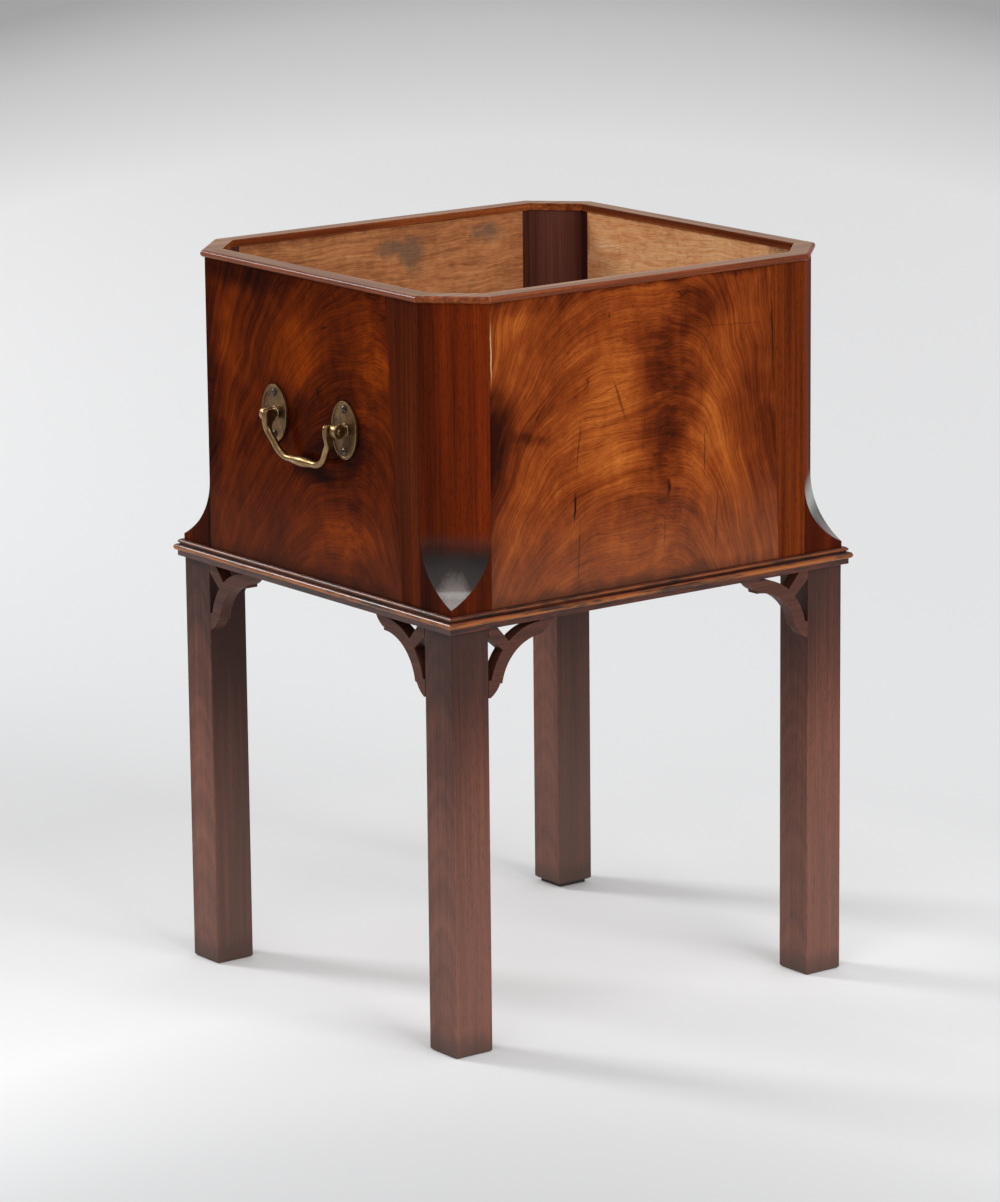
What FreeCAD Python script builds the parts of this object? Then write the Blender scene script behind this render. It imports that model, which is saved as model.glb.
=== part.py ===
import FreeCAD, Part
import math
import os

# Open wine cooler (cellarette) with canted corners, on a stand with four square legs.
# Millimetres, +Z up, front at -Y. The origin is on the floor, under the middle of the body.
#
# Two local frames keep the functions short:
#   side frame    the face stands at y = -reach/2 and looks towards -y, x runs to the right
#                 as seen from outside; a side is then turned about Z into its place
#   corner frame  the square corner is at x = y = 0 and the body lies towards +x and +y;
#                 a corner is then turned about Z and moved to its place

V = FreeCAD.Vector
CUT_MARGIN = 5.0              # how far a cutting shape runs past what it cuts

# Case
BODY_WIDTH = 433.0            # over the left and right faces
BODY_DEPTH = 404.0            # over the front and back faces
CASE_HEIGHT = 262.6           # walls, from the stand's top to the rim
CANT = 43.0                   # width cut off each face by the canted corner
GROUND_THICKNESS = 12.0       # boards of the four walls
VENEER_THICKNESS = 2.0        # saw-cut leaf outside each board
POST_WING = 8.0               # corner post, beyond its inner cant, to the joint with the board
SCOOP_RADIUS = 66.0           # hollow that ends each cant at the bottom
SCOOP_FOOT = 5.2              # square corner left under the hollow
BOARD_THICKNESS = 10.0        # bottom board
BOARD_CLEARANCE = 0.3         # round the bottom board
STRIP_WIDTHS = {              # straight-grained strip at the right-hand end of each face: top, bottom
    "front": (38.0, 30.0),
    "right": (42.0, 28.0),
    "back": (42.0, 28.0),
    "left": (46.0, 27.0),
}

# Rim
RIM_WIDTH = 18.5
RIM_THICKNESS = 6.4
RIM_OVERHANG = 3.6            # beyond the body's faces

# Stand
LEG_LENGTH = 391.0            # floor to the stand's top
LEG_SQUARE = 39.0
LEG_ARRIS = 0.8               # bevel worn on the four long edges
FOOT_CHAMFER = 2.0
TENON_WIDTH = 13.0
TENON_SHOULDER = 3.0          # above and below each tenon
TENON_GAP = 1.0               # wood left between two tenons in one leg
MORTICE_PLAY = 0.3            # behind the end of a tenon
PAD_THICKNESS = 3.5           # packing under the short back right leg
PAD_INSET = 4.5

# Base moulding, from its lower edge up
FILLET_HEIGHT = 4.8
FILLET_OUT = 4.5              # how far the lower fillet stands out from the body
TORUS_RADIUS = 2.9
GROOVE_HEIGHT = 1.0
GROOVE_OUT = 3.0
BEAD_RADIUS = 1.5
TOP_STEP = 0.4

# Pierced brackets
BRACKET_REACH = 70.0          # along the rail
BRACKET_DROP = 62.0           # down the leg
BRACKET_THICKNESS = 12.0
SWEEP_CENTRE = 58.0           # centre of the C curve, from the leg and from the rail
SWEEP_RADIUS = 44.0           # free edge of the C curve
BAND_WIDTH = 12.0             # width of the C-shaped band
TOE_LENGTH = 11.0             # pointed toe beyond the end of the free edge
TOE_TIP = 1.5                 # blunt end of the toe
TOE_NICK = 2.6                # square step between the free edge and the toe
TOE_BULGE = 1.2               # rise of the toe's rounded edge
FOOT_LENGTH = 15.0            # solid end of the bracket beyond each gap
STRUT_ROOT = 12.6             # width of the diagonal at the corner
STRUT_END = 8.6               # and where it meets the band

# Carrying handles
HANDLE_BORE = 105.0           # between the two posts
HANDLE_HEIGHT = 138.0         # pin axis above the stand's top
PIN_STANDOFF = 9.2            # pin axis, out from the face
PIN_RADIUS = 2.2
RUNNING_CLEARANCE = 0.05      # round the pin in its barrel
SIDE_CLEARANCE = 0.3          # between the barrel and the bail's eye or riveted end
BARREL_RADIUS = 6.4
BARREL_LENGTH = 8.0
NECK_SQUARE = 7.4
SHANK_SQUARE = 4.5            # cast square shank
SHANK_CLEARANCE = 0.15
SHANK_END = 2.0               # beyond the nut
NUT_SQUARE = 10.0
NUT_THICKNESS = 4.0
PLATE_WIDTH = 37.0
PLATE_HEIGHT = 51.5
PLATE_THICKNESS = 1.7
PLATE_END_RADIUS = 14.5       # the oval is drawn with two end arcs and two longer side arcs
PLATE_EDGE = 2.2              # width of the raised edge
PLATE_EDGE_HEIGHT = 0.9       # above the plate's face
NAIL_SPACING = 37.0           # between the two pins of a plate
NAIL_SQUARE = 1.6             # hand-cut square shank
NAIL_LENGTH = 12.0
NAIL_CLEARANCE = 0.05
NAIL_HEAD_RADIUS = 3.5
NAIL_HEAD_HEIGHT = 2.3
NAIL_HEAD_TOP = 1.5           # radius of the flat on a head
NAIL_HEAD_SIDES = 8           # hammered facets

# Bail
BAIL_DROP = 34.2              # pin axis to the middle of the grip
BAIL_LEAN = 15.5              # each arm leans in by this from its flattened end to the grip
BAIL_BEND = 21.0
FOOT_OUT = 4.5                # top of the round rod, out from the pin axis
GRIP_OUT = 0.8                # middle of the grip, out from the pin axis
BEND_STEPS = 4                # short straight lengths that make each bend
ROD_RADIUS = 3.2
GRIP_RADIUS = 4.8
GRIP_LENGTH = 30.0
GRIP_SHOULDER = 4.0           # cone at each end of the grip
ARM_LENGTH = 11.0             # flattened part of each arm, below the pin
ARM_END = 3.7                 # half its width where the rod starts
EYE_RADIUS = 5.6
EYE_THICKNESS = 4.4
STOP_LENGTH = 10.4            # nose on the flattened end, out from the pin; it limits the swing
STOP_TOP = 5.0                # upper corner of the nose above the pin axis
STOP_FOOT = 3.8               # lower corner below it
STOP_ROUND = 2.0              # how far the nose's end rises over its two corners
RIVET_RADIUS = 3.0
RIVET_HEIGHT = 1.2

# Sizes that follow from the ones above
WALL = GROUND_THICKNESS + VENEER_THICKNESS
INNER_CANT = CANT + WALL * math.sqrt(2) - WALL
POST_REACH = INNER_CANT + POST_WING
MOULDING_HEIGHT = FILLET_HEIGHT + 2 * TORUS_RADIUS + GROOVE_HEIGHT + 2 * BEAD_RADIUS + TOP_STEP
TENON_LENGTH = (LEG_SQUARE - TENON_WIDTH) / 2 - TENON_GAP
RAIL_BOTTOM = LEG_LENGTH - MOULDING_HEIGHT
CASE_TOP = LEG_LENGTH + CASE_HEIGHT
EYE_X = (HANDLE_BORE - BARREL_LENGTH - EYE_THICKNESS) / 2 - SIDE_CLEARANCE

# side: turn about Z, length of the face, distance between this face and the opposite one,
# names of the face's left-hand and right-hand ends as seen from outside
SIDES = {
    "front": (0, BODY_WIDTH, BODY_DEPTH, ("left", "right")),
    "right": (90, BODY_DEPTH, BODY_WIDTH, ("front", "back")),
    "back": (180, BODY_WIDTH, BODY_DEPTH, ("right", "left")),
    "left": (270, BODY_DEPTH, BODY_WIDTH, ("back", "front")),
}
HANDLE_SIDES = ("left", "right")

# corner: turn about Z
CORNERS = {"front_left": 0, "front_right": 90, "back_right": 180, "back_left": 270}


def write(name, *solids):
    """Write one node, made of one solid or of a group of separate ones."""
    shape = solids[0] if len(solids) == 1 else Part.makeCompound(list(solids))
    shape.exportStep("parts/" + name + ".step")


def box(x0, x1, y0, y1, z0, z1):
    return Part.makeBox(x1 - x0, y1 - y0, z1 - z0, V(x0, y0, z0))


def prism(points, bottom, top):
    """Upright prism over a plan given as (x, y) points."""
    corners = [V(x, y, bottom) for x, y in points]
    return Part.Face(Part.makePolygon(corners + corners[:1])).extrude(V(0, 0, top - bottom))


def solid_of(edges, sweep):
    """Planar face inside a closed loop of edges, extruded along a vector."""
    return Part.Face(Part.Wire(edges)).extrude(sweep)


def arc(start, middle, end):
    return Part.Arc(start, middle, end).toShape()


def to_side(shape, side):
    moved = shape.copy()
    moved.rotate(V(0, 0, 0), V(0, 0, 1), SIDES[side][0])
    return moved


def to_corner(shape, corner):
    x = BODY_WIDTH / 2 if "right" in corner else -BODY_WIDTH / 2
    y = BODY_DEPTH / 2 if "back" in corner else -BODY_DEPTH / 2
    moved = shape.copy()
    moved.rotate(V(0, 0, 0), V(0, 0, 1), CORNERS[corner])
    moved.translate(V(x, y, 0))
    return moved


# ---------------------------------------------------------------- case

def scoop_cutter():
    """What the cant and its hollowed stop take off a square corner, in the corner frame."""
    depth = CANT / math.sqrt(2)
    sweep = math.acos((SCOOP_RADIUS - depth) / SCOOP_RADIUS)
    foot = LEG_LENGTH + SCOOP_FOOT
    start = foot + SCOOP_RADIUS * math.sin(sweep)

    def at(inwards, height):
        across = inwards / math.sqrt(2)
        return V(across, across, height)

    hollow = arc(
        at(0, foot),
        at(
            depth - SCOOP_RADIUS * (1 - math.cos(sweep / 2)),
            start - SCOOP_RADIUS * math.sin(sweep / 2),
        ),
        at(depth, start),
    )
    above = CASE_TOP + CUT_MARGIN
    outline = Part.makePolygon([
        at(depth, start), at(depth, above), at(-CUT_MARGIN, above), at(-CUT_MARGIN, foot), at(0, foot),
    ])
    cutter = solid_of([hollow] + outline.Edges, V(2 * CANT, -2 * CANT, 0))
    cutter.translate(V(-CANT, CANT, 0))
    return cutter


def corner_post():
    """Solid post: canted outside and inside, rebated for the veneers, with its hollowed stop."""
    plan = [
        (0, 0), (CANT, 0), (CANT, VENEER_THICKNESS), (POST_REACH, VENEER_THICKNESS),
        (POST_REACH, WALL), (INNER_CANT, WALL), (WALL, INNER_CANT), (WALL, POST_REACH),
        (VENEER_THICKNESS, POST_REACH), (VENEER_THICKNESS, CANT), (0, CANT),
    ]
    return prism(plan, LEG_LENGTH, CASE_TOP).cut(scoop_cutter())


def square_bar(width, x, z, outer, inner):
    """Bar along y, centred at (x, z)."""
    half = width / 2
    return box(x - half, x + half, outer, inner, z - half, z + half)


def plate_holes(x, depth):
    """Shank hole and the two pin holes behind one backplate, as far in as the pins reach."""
    shank = SHANK_SQUARE + 2 * SHANK_CLEARANCE
    pin = NAIL_SQUARE + 2 * NAIL_CLEARANCE
    holes = [square_bar(shank, x, 0, -CUT_MARGIN, depth)]
    for z in (-NAIL_SPACING / 2, NAIL_SPACING / 2):
        holes.append(square_bar(pin, x, z, -CUT_MARGIN, NAIL_LENGTH + NAIL_CLEARANCE))
    return holes


def bored(board, side):
    """A wall or veneer of a handle side gets the handle's holes."""
    if side not in HANDLE_SIDES:
        return board
    for x in (-HANDLE_BORE / 2, HANDLE_BORE / 2):
        for hole in plate_holes(x, WALL + CUT_MARGIN):
            hole.translate(handle_origin(side))
            board = board.cut(hole)
    return board


def wall(side):
    _, span, reach, _ = SIDES[side]
    end = span / 2 - POST_REACH
    face = -reach / 2 + VENEER_THICKNESS
    board = box(-end, end, face, face + GROUND_THICKNESS, LEG_LENGTH, CASE_TOP)
    return bored(board, side)


def veneer(side):
    """The figured leaf and the straight-grained strip that meet in a slanting joint."""
    _, span, reach, _ = SIDES[side]
    end = span / 2 - CANT
    top, bottom = STRIP_WIDTHS[side]
    face = -reach / 2

    def panel(outline):
        corners = [V(x, face, z) for x, z in outline]
        wire = Part.makePolygon(corners + corners[:1])
        return Part.Face(wire).extrude(V(0, VENEER_THICKNESS, 0))

    low = LEG_LENGTH
    leaf = panel([(-end, low), (end - bottom, low), (end - top, CASE_TOP), (-end, CASE_TOP)])
    strip = panel([(end - bottom, low), (end, low), (end, CASE_TOP), (end - top, CASE_TOP)])
    return bored(leaf, side), strip


def plan_corners(offset, cant):
    """Corners of the body's plan grown by offset, from the front's left end, anticlockwise."""
    x = BODY_WIDTH / 2 + offset
    y = BODY_DEPTH / 2 + offset
    if cant == 0:
        return [(-x, -y), (x, -y), (x, y), (-x, y)]
    cut = cant + offset * (2 - math.sqrt(2))
    return [
        (cut - x, -y), (x - cut, -y), (x, cut - y), (x, y - cut),
        (x - cut, y), (cut - x, y), (-x, y - cut), (-x, cut - y),
    ]


def bottom_board():
    plan = plan_corners(-WALL - BOARD_CLEARANCE, CANT)
    return prism(plan, LEG_LENGTH, LEG_LENGTH + BOARD_THICKNESS)


# ---------------------------------------------------------------- mitred lengths

def rim_profile(at):
    flat = RIM_OVERHANG - RIM_THICKNESS / 2
    inner = RIM_OVERHANG - RIM_WIDTH
    nose = arc(at(flat, 0), at(RIM_OVERHANG, RIM_THICKNESS / 2), at(flat, RIM_THICKNESS))
    back = Part.makePolygon([
        at(flat, RIM_THICKNESS), at(inner, RIM_THICKNESS), at(inner, 0), at(flat, 0),
    ])
    return [nose] + back.Edges


def moulding_profile(at):
    """Fillet, torus, groove and bead, from the lower edge up."""
    torus = FILLET_HEIGHT
    groove = torus + 2 * TORUS_RADIUS
    bead = groove + GROOVE_HEIGHT
    step = bead + 2 * BEAD_RADIUS
    lower = Part.makePolygon([at(0, 0), at(FILLET_OUT, 0), at(FILLET_OUT, torus)])
    middle = Part.makePolygon([at(FILLET_OUT, groove), at(GROOVE_OUT, groove), at(GROOVE_OUT, bead)])
    upper = Part.makePolygon([
        at(GROOVE_OUT, step), at(GROOVE_OUT, MOULDING_HEIGHT), at(0, MOULDING_HEIGHT), at(0, 0),
    ])
    round_torus = arc(
        at(FILLET_OUT, torus),
        at(FILLET_OUT + TORUS_RADIUS, torus + TORUS_RADIUS),
        at(FILLET_OUT, groove),
    )
    round_bead = arc(
        at(GROOVE_OUT, bead),
        at(GROOVE_OUT + BEAD_RADIUS, bead + BEAD_RADIUS),
        at(GROOVE_OUT, step),
    )
    return lower.Edges + [round_torus] + middle.Edges + [round_bead] + upper.Edges


def mitred_lengths(profile, cant, inner, outer, bottom, height):
    """A moulding run round the body's plan, one length per edge, with mitred ends.

    profile draws the section from points given as (out from the body, up from bottom);
    inner and outer are how far the section reaches in and out.
    """
    base = plan_corners(0, cant)
    near = plan_corners(inner - CUT_MARGIN, cant)
    far = plan_corners(outer + CUT_MARGIN, cant)
    count = len(base)
    lengths = []
    for first in range(count):
        second = (first + 1) % count
        start = V(base[first][0], base[first][1], bottom)
        end = V(base[second][0], base[second][1], bottom)
        along = (end - start).normalize()
        out = V(along.y, -along.x, 0)
        run = 4 * CUT_MARGIN + outer

        def at(outwards, height_up):
            return start - along * run + out * outwards + V(0, 0, height_up)

        bar = solid_of(profile(at), along * ((end - start).Length + 2 * run))
        sector = [near[first], near[second], far[second], far[first]]
        lengths.append(bar.common(prism(sector, bottom - CUT_MARGIN, bottom + height + CUT_MARGIN)))
    return lengths


# ---------------------------------------------------------------- stand

def leg(short):
    """Square leg in the corner frame, morticed for the two rails; a short one stands on its pad."""
    foot = PAD_THICKNESS if short else 0.0
    post = box(0, LEG_SQUARE, 0, LEG_SQUARE, foot, LEG_LENGTH)
    sole = [edge for edge in post.Edges if edge.BoundBox.ZMax < foot + FOOT_CHAMFER / 2]
    post = post.makeChamfer(FOOT_CHAMFER, sole)
    upright = [edge for edge in post.Edges if edge.BoundBox.ZLength > LEG_SQUARE]
    post = post.makeChamfer(LEG_ARRIS, upright)
    deep = LEG_SQUARE - TENON_LENGTH - MORTICE_PLAY
    near = (LEG_SQUARE - TENON_WIDTH) / 2
    far = near + TENON_WIDTH
    low = RAIL_BOTTOM + TENON_SHOULDER
    high = LEG_LENGTH - TENON_SHOULDER
    post = post.cut(box(deep, LEG_SQUARE + CUT_MARGIN, near, far, low, high))
    return post.cut(box(near, far, deep, LEG_SQUARE + CUT_MARGIN, low, high))


def foot_pad():
    return box(PAD_INSET, LEG_SQUARE - PAD_INSET, PAD_INSET, LEG_SQUARE - PAD_INSET, 0, PAD_THICKNESS)


def rail(side):
    """Frame rail behind the base moulding, with a tenon at each end."""
    _, span, reach, _ = SIDES[side]
    end = span / 2 - LEG_SQUARE
    face = -reach / 2
    bar = box(-end, end, face, face + LEG_SQUARE, RAIL_BOTTOM, LEG_LENGTH)
    near = face + (LEG_SQUARE - TENON_WIDTH) / 2
    low = RAIL_BOTTOM + TENON_SHOULDER
    high = LEG_LENGTH - TENON_SHOULDER
    tenons = box(-end - TENON_LENGTH, end + TENON_LENGTH, near, near + TENON_WIDTH, low, high)
    return bar.fuse(tenons).removeSplitter()


def rounded_edge(start, end, out):
    """Arc that rises from the chord by the toe's bulge."""
    return arc(start, (start + end) * 0.5 + out * TOE_BULGE, end)


def bracket_outline():
    """Outer edge of a bracket; (a, b) is a along the rail and b down the leg, from their corner."""
    def on_sweep(offset):
        return SWEEP_CENTRE - math.sqrt(SWEEP_RADIUS ** 2 - (SWEEP_CENTRE - offset) ** 2)

    def at(a, b):
        return V(a, 0, -b)

    leg_end = BRACKET_DROP - TOE_LENGTH
    rail_end = BRACKET_REACH - TOE_LENGTH
    leg_cusp = at(on_sweep(leg_end), leg_end)
    rail_cusp = at(rail_end, on_sweep(rail_end))
    leg_nick = leg_cusp - at(TOE_NICK, 0)
    rail_nick = rail_cusp - at(0, TOE_NICK)
    leg_tip = at(TOE_TIP, BRACKET_DROP)
    rail_tip = at(BRACKET_REACH, TOE_TIP)
    middle = SWEEP_CENTRE - SWEEP_RADIUS / math.sqrt(2)
    out = at(1, 1).normalize()
    back = Part.makePolygon([rail_tip, at(BRACKET_REACH, 0), at(0, 0), at(0, BRACKET_DROP), leg_tip])
    free_edge = arc(leg_cusp, at(middle, middle), rail_cusp)
    return [
        free_edge, Part.makeLine(rail_cusp, rail_nick), rounded_edge(rail_nick, rail_tip, out),
    ] + back.Edges + [rounded_edge(leg_tip, leg_nick, out), Part.makeLine(leg_nick, leg_cusp)]


def bracket():
    """Pierced angle bracket; its corner is at the origin and it runs towards +x and down."""
    through = V(0, BRACKET_THICKNESS, 0)
    body = solid_of(bracket_outline(), through)
    hollow = box(
        -CUT_MARGIN, BRACKET_REACH - FOOT_LENGTH, -CUT_MARGIN, BRACKET_THICKNESS + CUT_MARGIN,
        FOOT_LENGTH - BRACKET_DROP, CUT_MARGIN,
    )
    centre = V(SWEEP_CENTRE, -2 * CUT_MARGIN, -SWEEP_CENTRE)
    disc = Part.makeCylinder(
        SWEEP_RADIUS + BAND_WIDTH, BRACKET_THICKNESS + 4 * CUT_MARGIN, centre, V(0, 1, 0),
    )
    root = STRUT_ROOT / math.sqrt(2)
    tip = STRUT_END / math.sqrt(2) / 2
    meet = SWEEP_CENTRE - SWEEP_RADIUS / math.sqrt(2) - BAND_WIDTH / 4
    outline = [(0, 0), (root, 0), (meet + tip, tip - meet), (meet - tip, -tip - meet), (0, -root)]
    corners = [V(x, -2 * CUT_MARGIN, z) for x, z in outline]
    strut = Part.Face(Part.makePolygon(corners + corners[:1]))
    strut = strut.extrude(V(0, BRACKET_THICKNESS + 4 * CUT_MARGIN, 0))
    return body.cut(hollow.cut(disc).cut(strut))


def brackets(side):
    """The two brackets under one rail, as (end name, solid)."""
    _, span, reach, ends = SIDES[side]
    left = bracket()
    left.translate(V(LEG_SQUARE - span / 2, -reach / 2, RAIL_BOTTOM))
    right = left.mirror(V(0, 0, 0), V(1, 0, 0))
    return [(ends[0], left), (ends[1], right)]


# ---------------------------------------------------------------- handles
# A handle's own frame: the face is y = 0 and outside is -y, z = 0 is the pin axis.

def handle_origin(side):
    return V(0, -SIDES[side][2] / 2, LEG_LENGTH + HANDLE_HEIGHT)


def handle_post():
    """Square neck, cross barrel for the bail's pin, and a square shank through the wall."""
    neck = square_bar(NECK_SQUARE, 0, 0, -PIN_STANDOFF, -PLATE_THICKNESS)
    half = BARREL_LENGTH / 2
    barrel = Part.makeCylinder(BARREL_RADIUS, BARREL_LENGTH, V(-half, -PIN_STANDOFF, 0), V(1, 0, 0))
    bore = Part.makeCylinder(
        PIN_RADIUS + RUNNING_CLEARANCE, BARREL_LENGTH + 2 * CUT_MARGIN,
        V(-half - CUT_MARGIN, -PIN_STANDOFF, 0), V(1, 0, 0),
    )
    shank = square_bar(SHANK_SQUARE, 0, 0, -PLATE_THICKNESS, WALL + NUT_THICKNESS + SHANK_END)
    return neck.fuse(barrel).cut(bore).fuse(shank)


def oval(inset, outwards, thickness):
    """Oval disc standing off the face, smaller all round than the plate by inset."""
    end_radius = PLATE_END_RADIUS - inset
    half_width = PLATE_WIDTH / 2 - inset
    half_height = PLATE_HEIGHT / 2 - inset
    rise = half_height - end_radius
    side_radius = (half_width ** 2 + rise ** 2 - end_radius ** 2) / (2 * (half_width - end_radius))
    lean = math.atan2(rise, side_radius - half_width)
    x = end_radius * math.cos(lean)
    z = rise + end_radius * math.sin(lean)

    def at(across, up):
        return V(across, -outwards, up)

    edges = [
        arc(at(x, -z), at(half_width, 0), at(x, z)),
        arc(at(x, z), at(0, half_height), at(-x, z)),
        arc(at(-x, z), at(-half_width, 0), at(-x, -z)),
        arc(at(-x, -z), at(0, -half_height), at(x, -z)),
    ]
    return solid_of(edges, V(0, -thickness, 0))


def backplate():
    """Oval plate with a raised edge and its three holes."""
    plate = oval(0, 0, PLATE_THICKNESS + PLATE_EDGE_HEIGHT)
    plate = plate.cut(oval(PLATE_EDGE, PLATE_THICKNESS, CUT_MARGIN))
    for hole in plate_holes(0, CUT_MARGIN):
        plate = plate.cut(hole)
    return plate


def nail():
    """Pin with a faceted head and a square shank; it holds a backplate and is driven into the wall."""
    rings = []
    for radius, outwards in ((NAIL_HEAD_RADIUS, 0), (NAIL_HEAD_TOP, NAIL_HEAD_HEIGHT)):
        ring = []
        for step in range(NAIL_HEAD_SIDES + 1):
            angle = 2 * math.pi * step / NAIL_HEAD_SIDES
            y = -PLATE_THICKNESS - outwards
            ring.append(V(radius * math.cos(angle), y, radius * math.sin(angle)))
        rings.append(Part.makePolygon(ring))
    head = Part.makeLoft(rings, True, True)
    return head.fuse(square_bar(NAIL_SQUARE, 0, 0, -PLATE_THICKNESS, NAIL_LENGTH))


def nut():
    """Square nut on the shank, against the inside of the wall."""
    block = square_bar(NUT_SQUARE, 0, 0, WALL, WALL + NUT_THICKNESS)
    return block.cut(square_bar(SHANK_SQUARE, 0, 0, WALL, WALL + NUT_THICKNESS))


def rod_out(z):
    """Distance of the rod's centreline from the face at a height relative to the pin axis."""
    rise = (z + BAIL_DROP) / (BAIL_DROP - ARM_LENGTH)
    return PIN_STANDOFF + GRIP_OUT + (FOOT_OUT - GRIP_OUT) * rise


def bail_path():
    """Centreline of the round rod, from the right arm round to the left one."""
    lean = math.atan2(BAIL_LEAN, BAIL_DROP - ARM_LENGTH)
    run_in = BAIL_BEND / math.tan((math.pi / 2 + lean) / 2)
    centre_x = EYE_X - BAIL_LEAN - run_in
    right = [V(EYE_X, -rod_out(-ARM_LENGTH), -ARM_LENGTH)]
    for step in range(BEND_STEPS + 1):
        angle = -lean - (math.pi / 2 - lean) * step / BEND_STEPS
        x = centre_x + BAIL_BEND * math.cos(angle)
        z = BAIL_BEND - BAIL_DROP + BAIL_BEND * math.sin(angle)
        right.append(V(x, -rod_out(z), z))
    left = [V(-point.x, point.y, point.z) for point in reversed(right)]
    return right + left


def bail_rod():
    path = bail_path()
    section = Part.Wire(Part.makeCircle(ROD_RADIUS, path[0], path[1] - path[0]))
    mitred = 1
    return Part.makePolygon(path).makePipeShell([section], True, False, mitred)


def grip():
    """Swelled middle of the bail."""
    body_half = GRIP_LENGTH / 2 - GRIP_SHOULDER
    middle = V(0, -rod_out(-BAIL_DROP), -BAIL_DROP)
    body = Part.makeCylinder(GRIP_RADIUS, 2 * body_half, middle - V(body_half, 0, 0), V(1, 0, 0))
    shoulders = []
    for way in (-1, 1):
        start = middle + V(way * body_half, 0, 0)
        shoulders.append(Part.makeCone(GRIP_RADIUS, ROD_RADIUS, GRIP_SHOULDER, start, V(way, 0, 0)))
    return body.fuse(shoulders)


def bail_arm():
    """Flattened end with its nose, and the riveted pin, at the bail's right-hand end."""
    def at(out, up):
        return V(EYE_X - EYE_THICKNESS / 2, -PIN_STANDOFF - out, up)

    shoulder = STOP_LENGTH - STOP_ROUND
    inner_foot = FOOT_OUT - ARM_END
    outer_foot = FOOT_OUT + ARM_END
    outline = [
        arc(at(0, -EYE_RADIUS), at(-EYE_RADIUS, 0), at(0, EYE_RADIUS)),
        Part.makeLine(at(0, EYE_RADIUS), at(shoulder, STOP_TOP)),
        arc(at(shoulder, STOP_TOP), at(STOP_LENGTH, (STOP_TOP - STOP_FOOT) / 2), at(shoulder, -STOP_FOOT)),
        Part.makeLine(at(shoulder, -STOP_FOOT), at(outer_foot, -ARM_LENGTH)),
        arc(
            at(outer_foot, -ARM_LENGTH), at(FOOT_OUT, -ARM_LENGTH - ARM_END), at(inner_foot, -ARM_LENGTH),
        ),
        Part.makeLine(at(inner_foot, -ARM_LENGTH), at(0, -EYE_RADIUS)),
    ]
    arm = solid_of(outline, V(EYE_THICKNESS, 0, 0))
    pivot = V(EYE_X, -PIN_STANDOFF, 0)
    rivet_x = (HANDLE_BORE + BARREL_LENGTH) / 2 + SIDE_CLEARANCE
    pin = Part.makeCylinder(PIN_RADIUS, rivet_x - EYE_X, pivot, V(1, 0, 0))
    rivet = Part.makeCylinder(RIVET_RADIUS, RIVET_HEIGHT, V(rivet_x, -PIN_STANDOFF, 0), V(1, 0, 0))
    return arm.fuse([pin, rivet])


def bail():
    arm = bail_arm()
    other = arm.mirror(V(0, 0, 0), V(1, 0, 0))
    return bail_rod().fuse([grip(), arm, other])


def handles():
    posts = []
    plates = []
    nuts = []
    nails = []
    for side in HANDLE_SIDES:
        origin = handle_origin(side)

        def put(shape, x, z):
            moved = shape.copy()
            moved.translate(origin + V(x, 0, z))
            return to_side(moved, side)

        write(side + "_bail", put(bail(), 0, 0))
        for x in (-HANDLE_BORE / 2, HANDLE_BORE / 2):
            posts.append(put(handle_post(), x, 0))
            plates.append(put(backplate(), x, 0))
            nuts.append(put(nut(), x, 0))
            nails += [put(nail(), x, z) for z in (-NAIL_SPACING / 2, NAIL_SPACING / 2)]
    write("handle_posts", *posts)
    write("backplates", *plates)
    write("handle_nuts", *nuts)
    write("backplate_pins", *nails)


# ---------------------------------------------------------------- build

def case():
    for side in SIDES:
        leaf, strip = veneer(side)
        write(side + "_wall", to_side(wall(side), side))
        write(side + "_veneer", to_side(leaf, side))
        write(side + "_veneer_strip", to_side(strip, side))
    for corner in CORNERS:
        write("corner_post_" + corner, to_corner(corner_post(), corner))
    write("bottom_board", bottom_board())


def rim():
    lengths = mitred_lengths(
        rim_profile, CANT, RIM_OVERHANG - RIM_WIDTH, RIM_OVERHANG, CASE_TOP, RIM_THICKNESS,
    )
    names = (
        "rim_front", "rim_corner_front_right", "rim_right", "rim_corner_back_right",
        "rim_back", "rim_corner_back_left", "rim_left", "rim_corner_front_left",
    )
    for name, length in zip(names, lengths):
        write(name, length)


def stand():
    for corner in CORNERS:
        short = corner == "back_right"
        write("leg_" + corner, to_corner(leg(short), corner))
        if short:
            write("foot_pad_" + corner, to_corner(foot_pad(), corner))
    for side in SIDES:
        write("rail_" + side, to_side(rail(side), side))
        for end, shape in brackets(side):
            write("bracket_" + side + "_" + end, to_side(shape, side))
    mouldings = mitred_lengths(
        moulding_profile, 0, 0, FILLET_OUT + TORUS_RADIUS, RAIL_BOTTOM, MOULDING_HEIGHT,
    )
    for side, length in zip(SIDES, mouldings):
        write("base_moulding_" + side, length)


def main():
    os.makedirs("parts", exist_ok=True)
    case()
    rim()
    stand()
    handles()


main()
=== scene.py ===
# %% [markdown]
# # An open wine cooler on a stand
#
# The object is a mahogany box with canted corners and no lid, with a brass carrying handle on two of
# its sides, standing in a frame on four square legs. The solids come from the CAD frame, already in
# place. This lesson lights them, eases their edges, models the brass more closely, and gives every
# piece its finish.

# %% Load the frame
from functools import partial
from math import atan2, cos, pi, radians, sin, tan

import bmesh
import bpy
from bmesh import ops
from mathutils import Matrix, Vector


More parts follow.
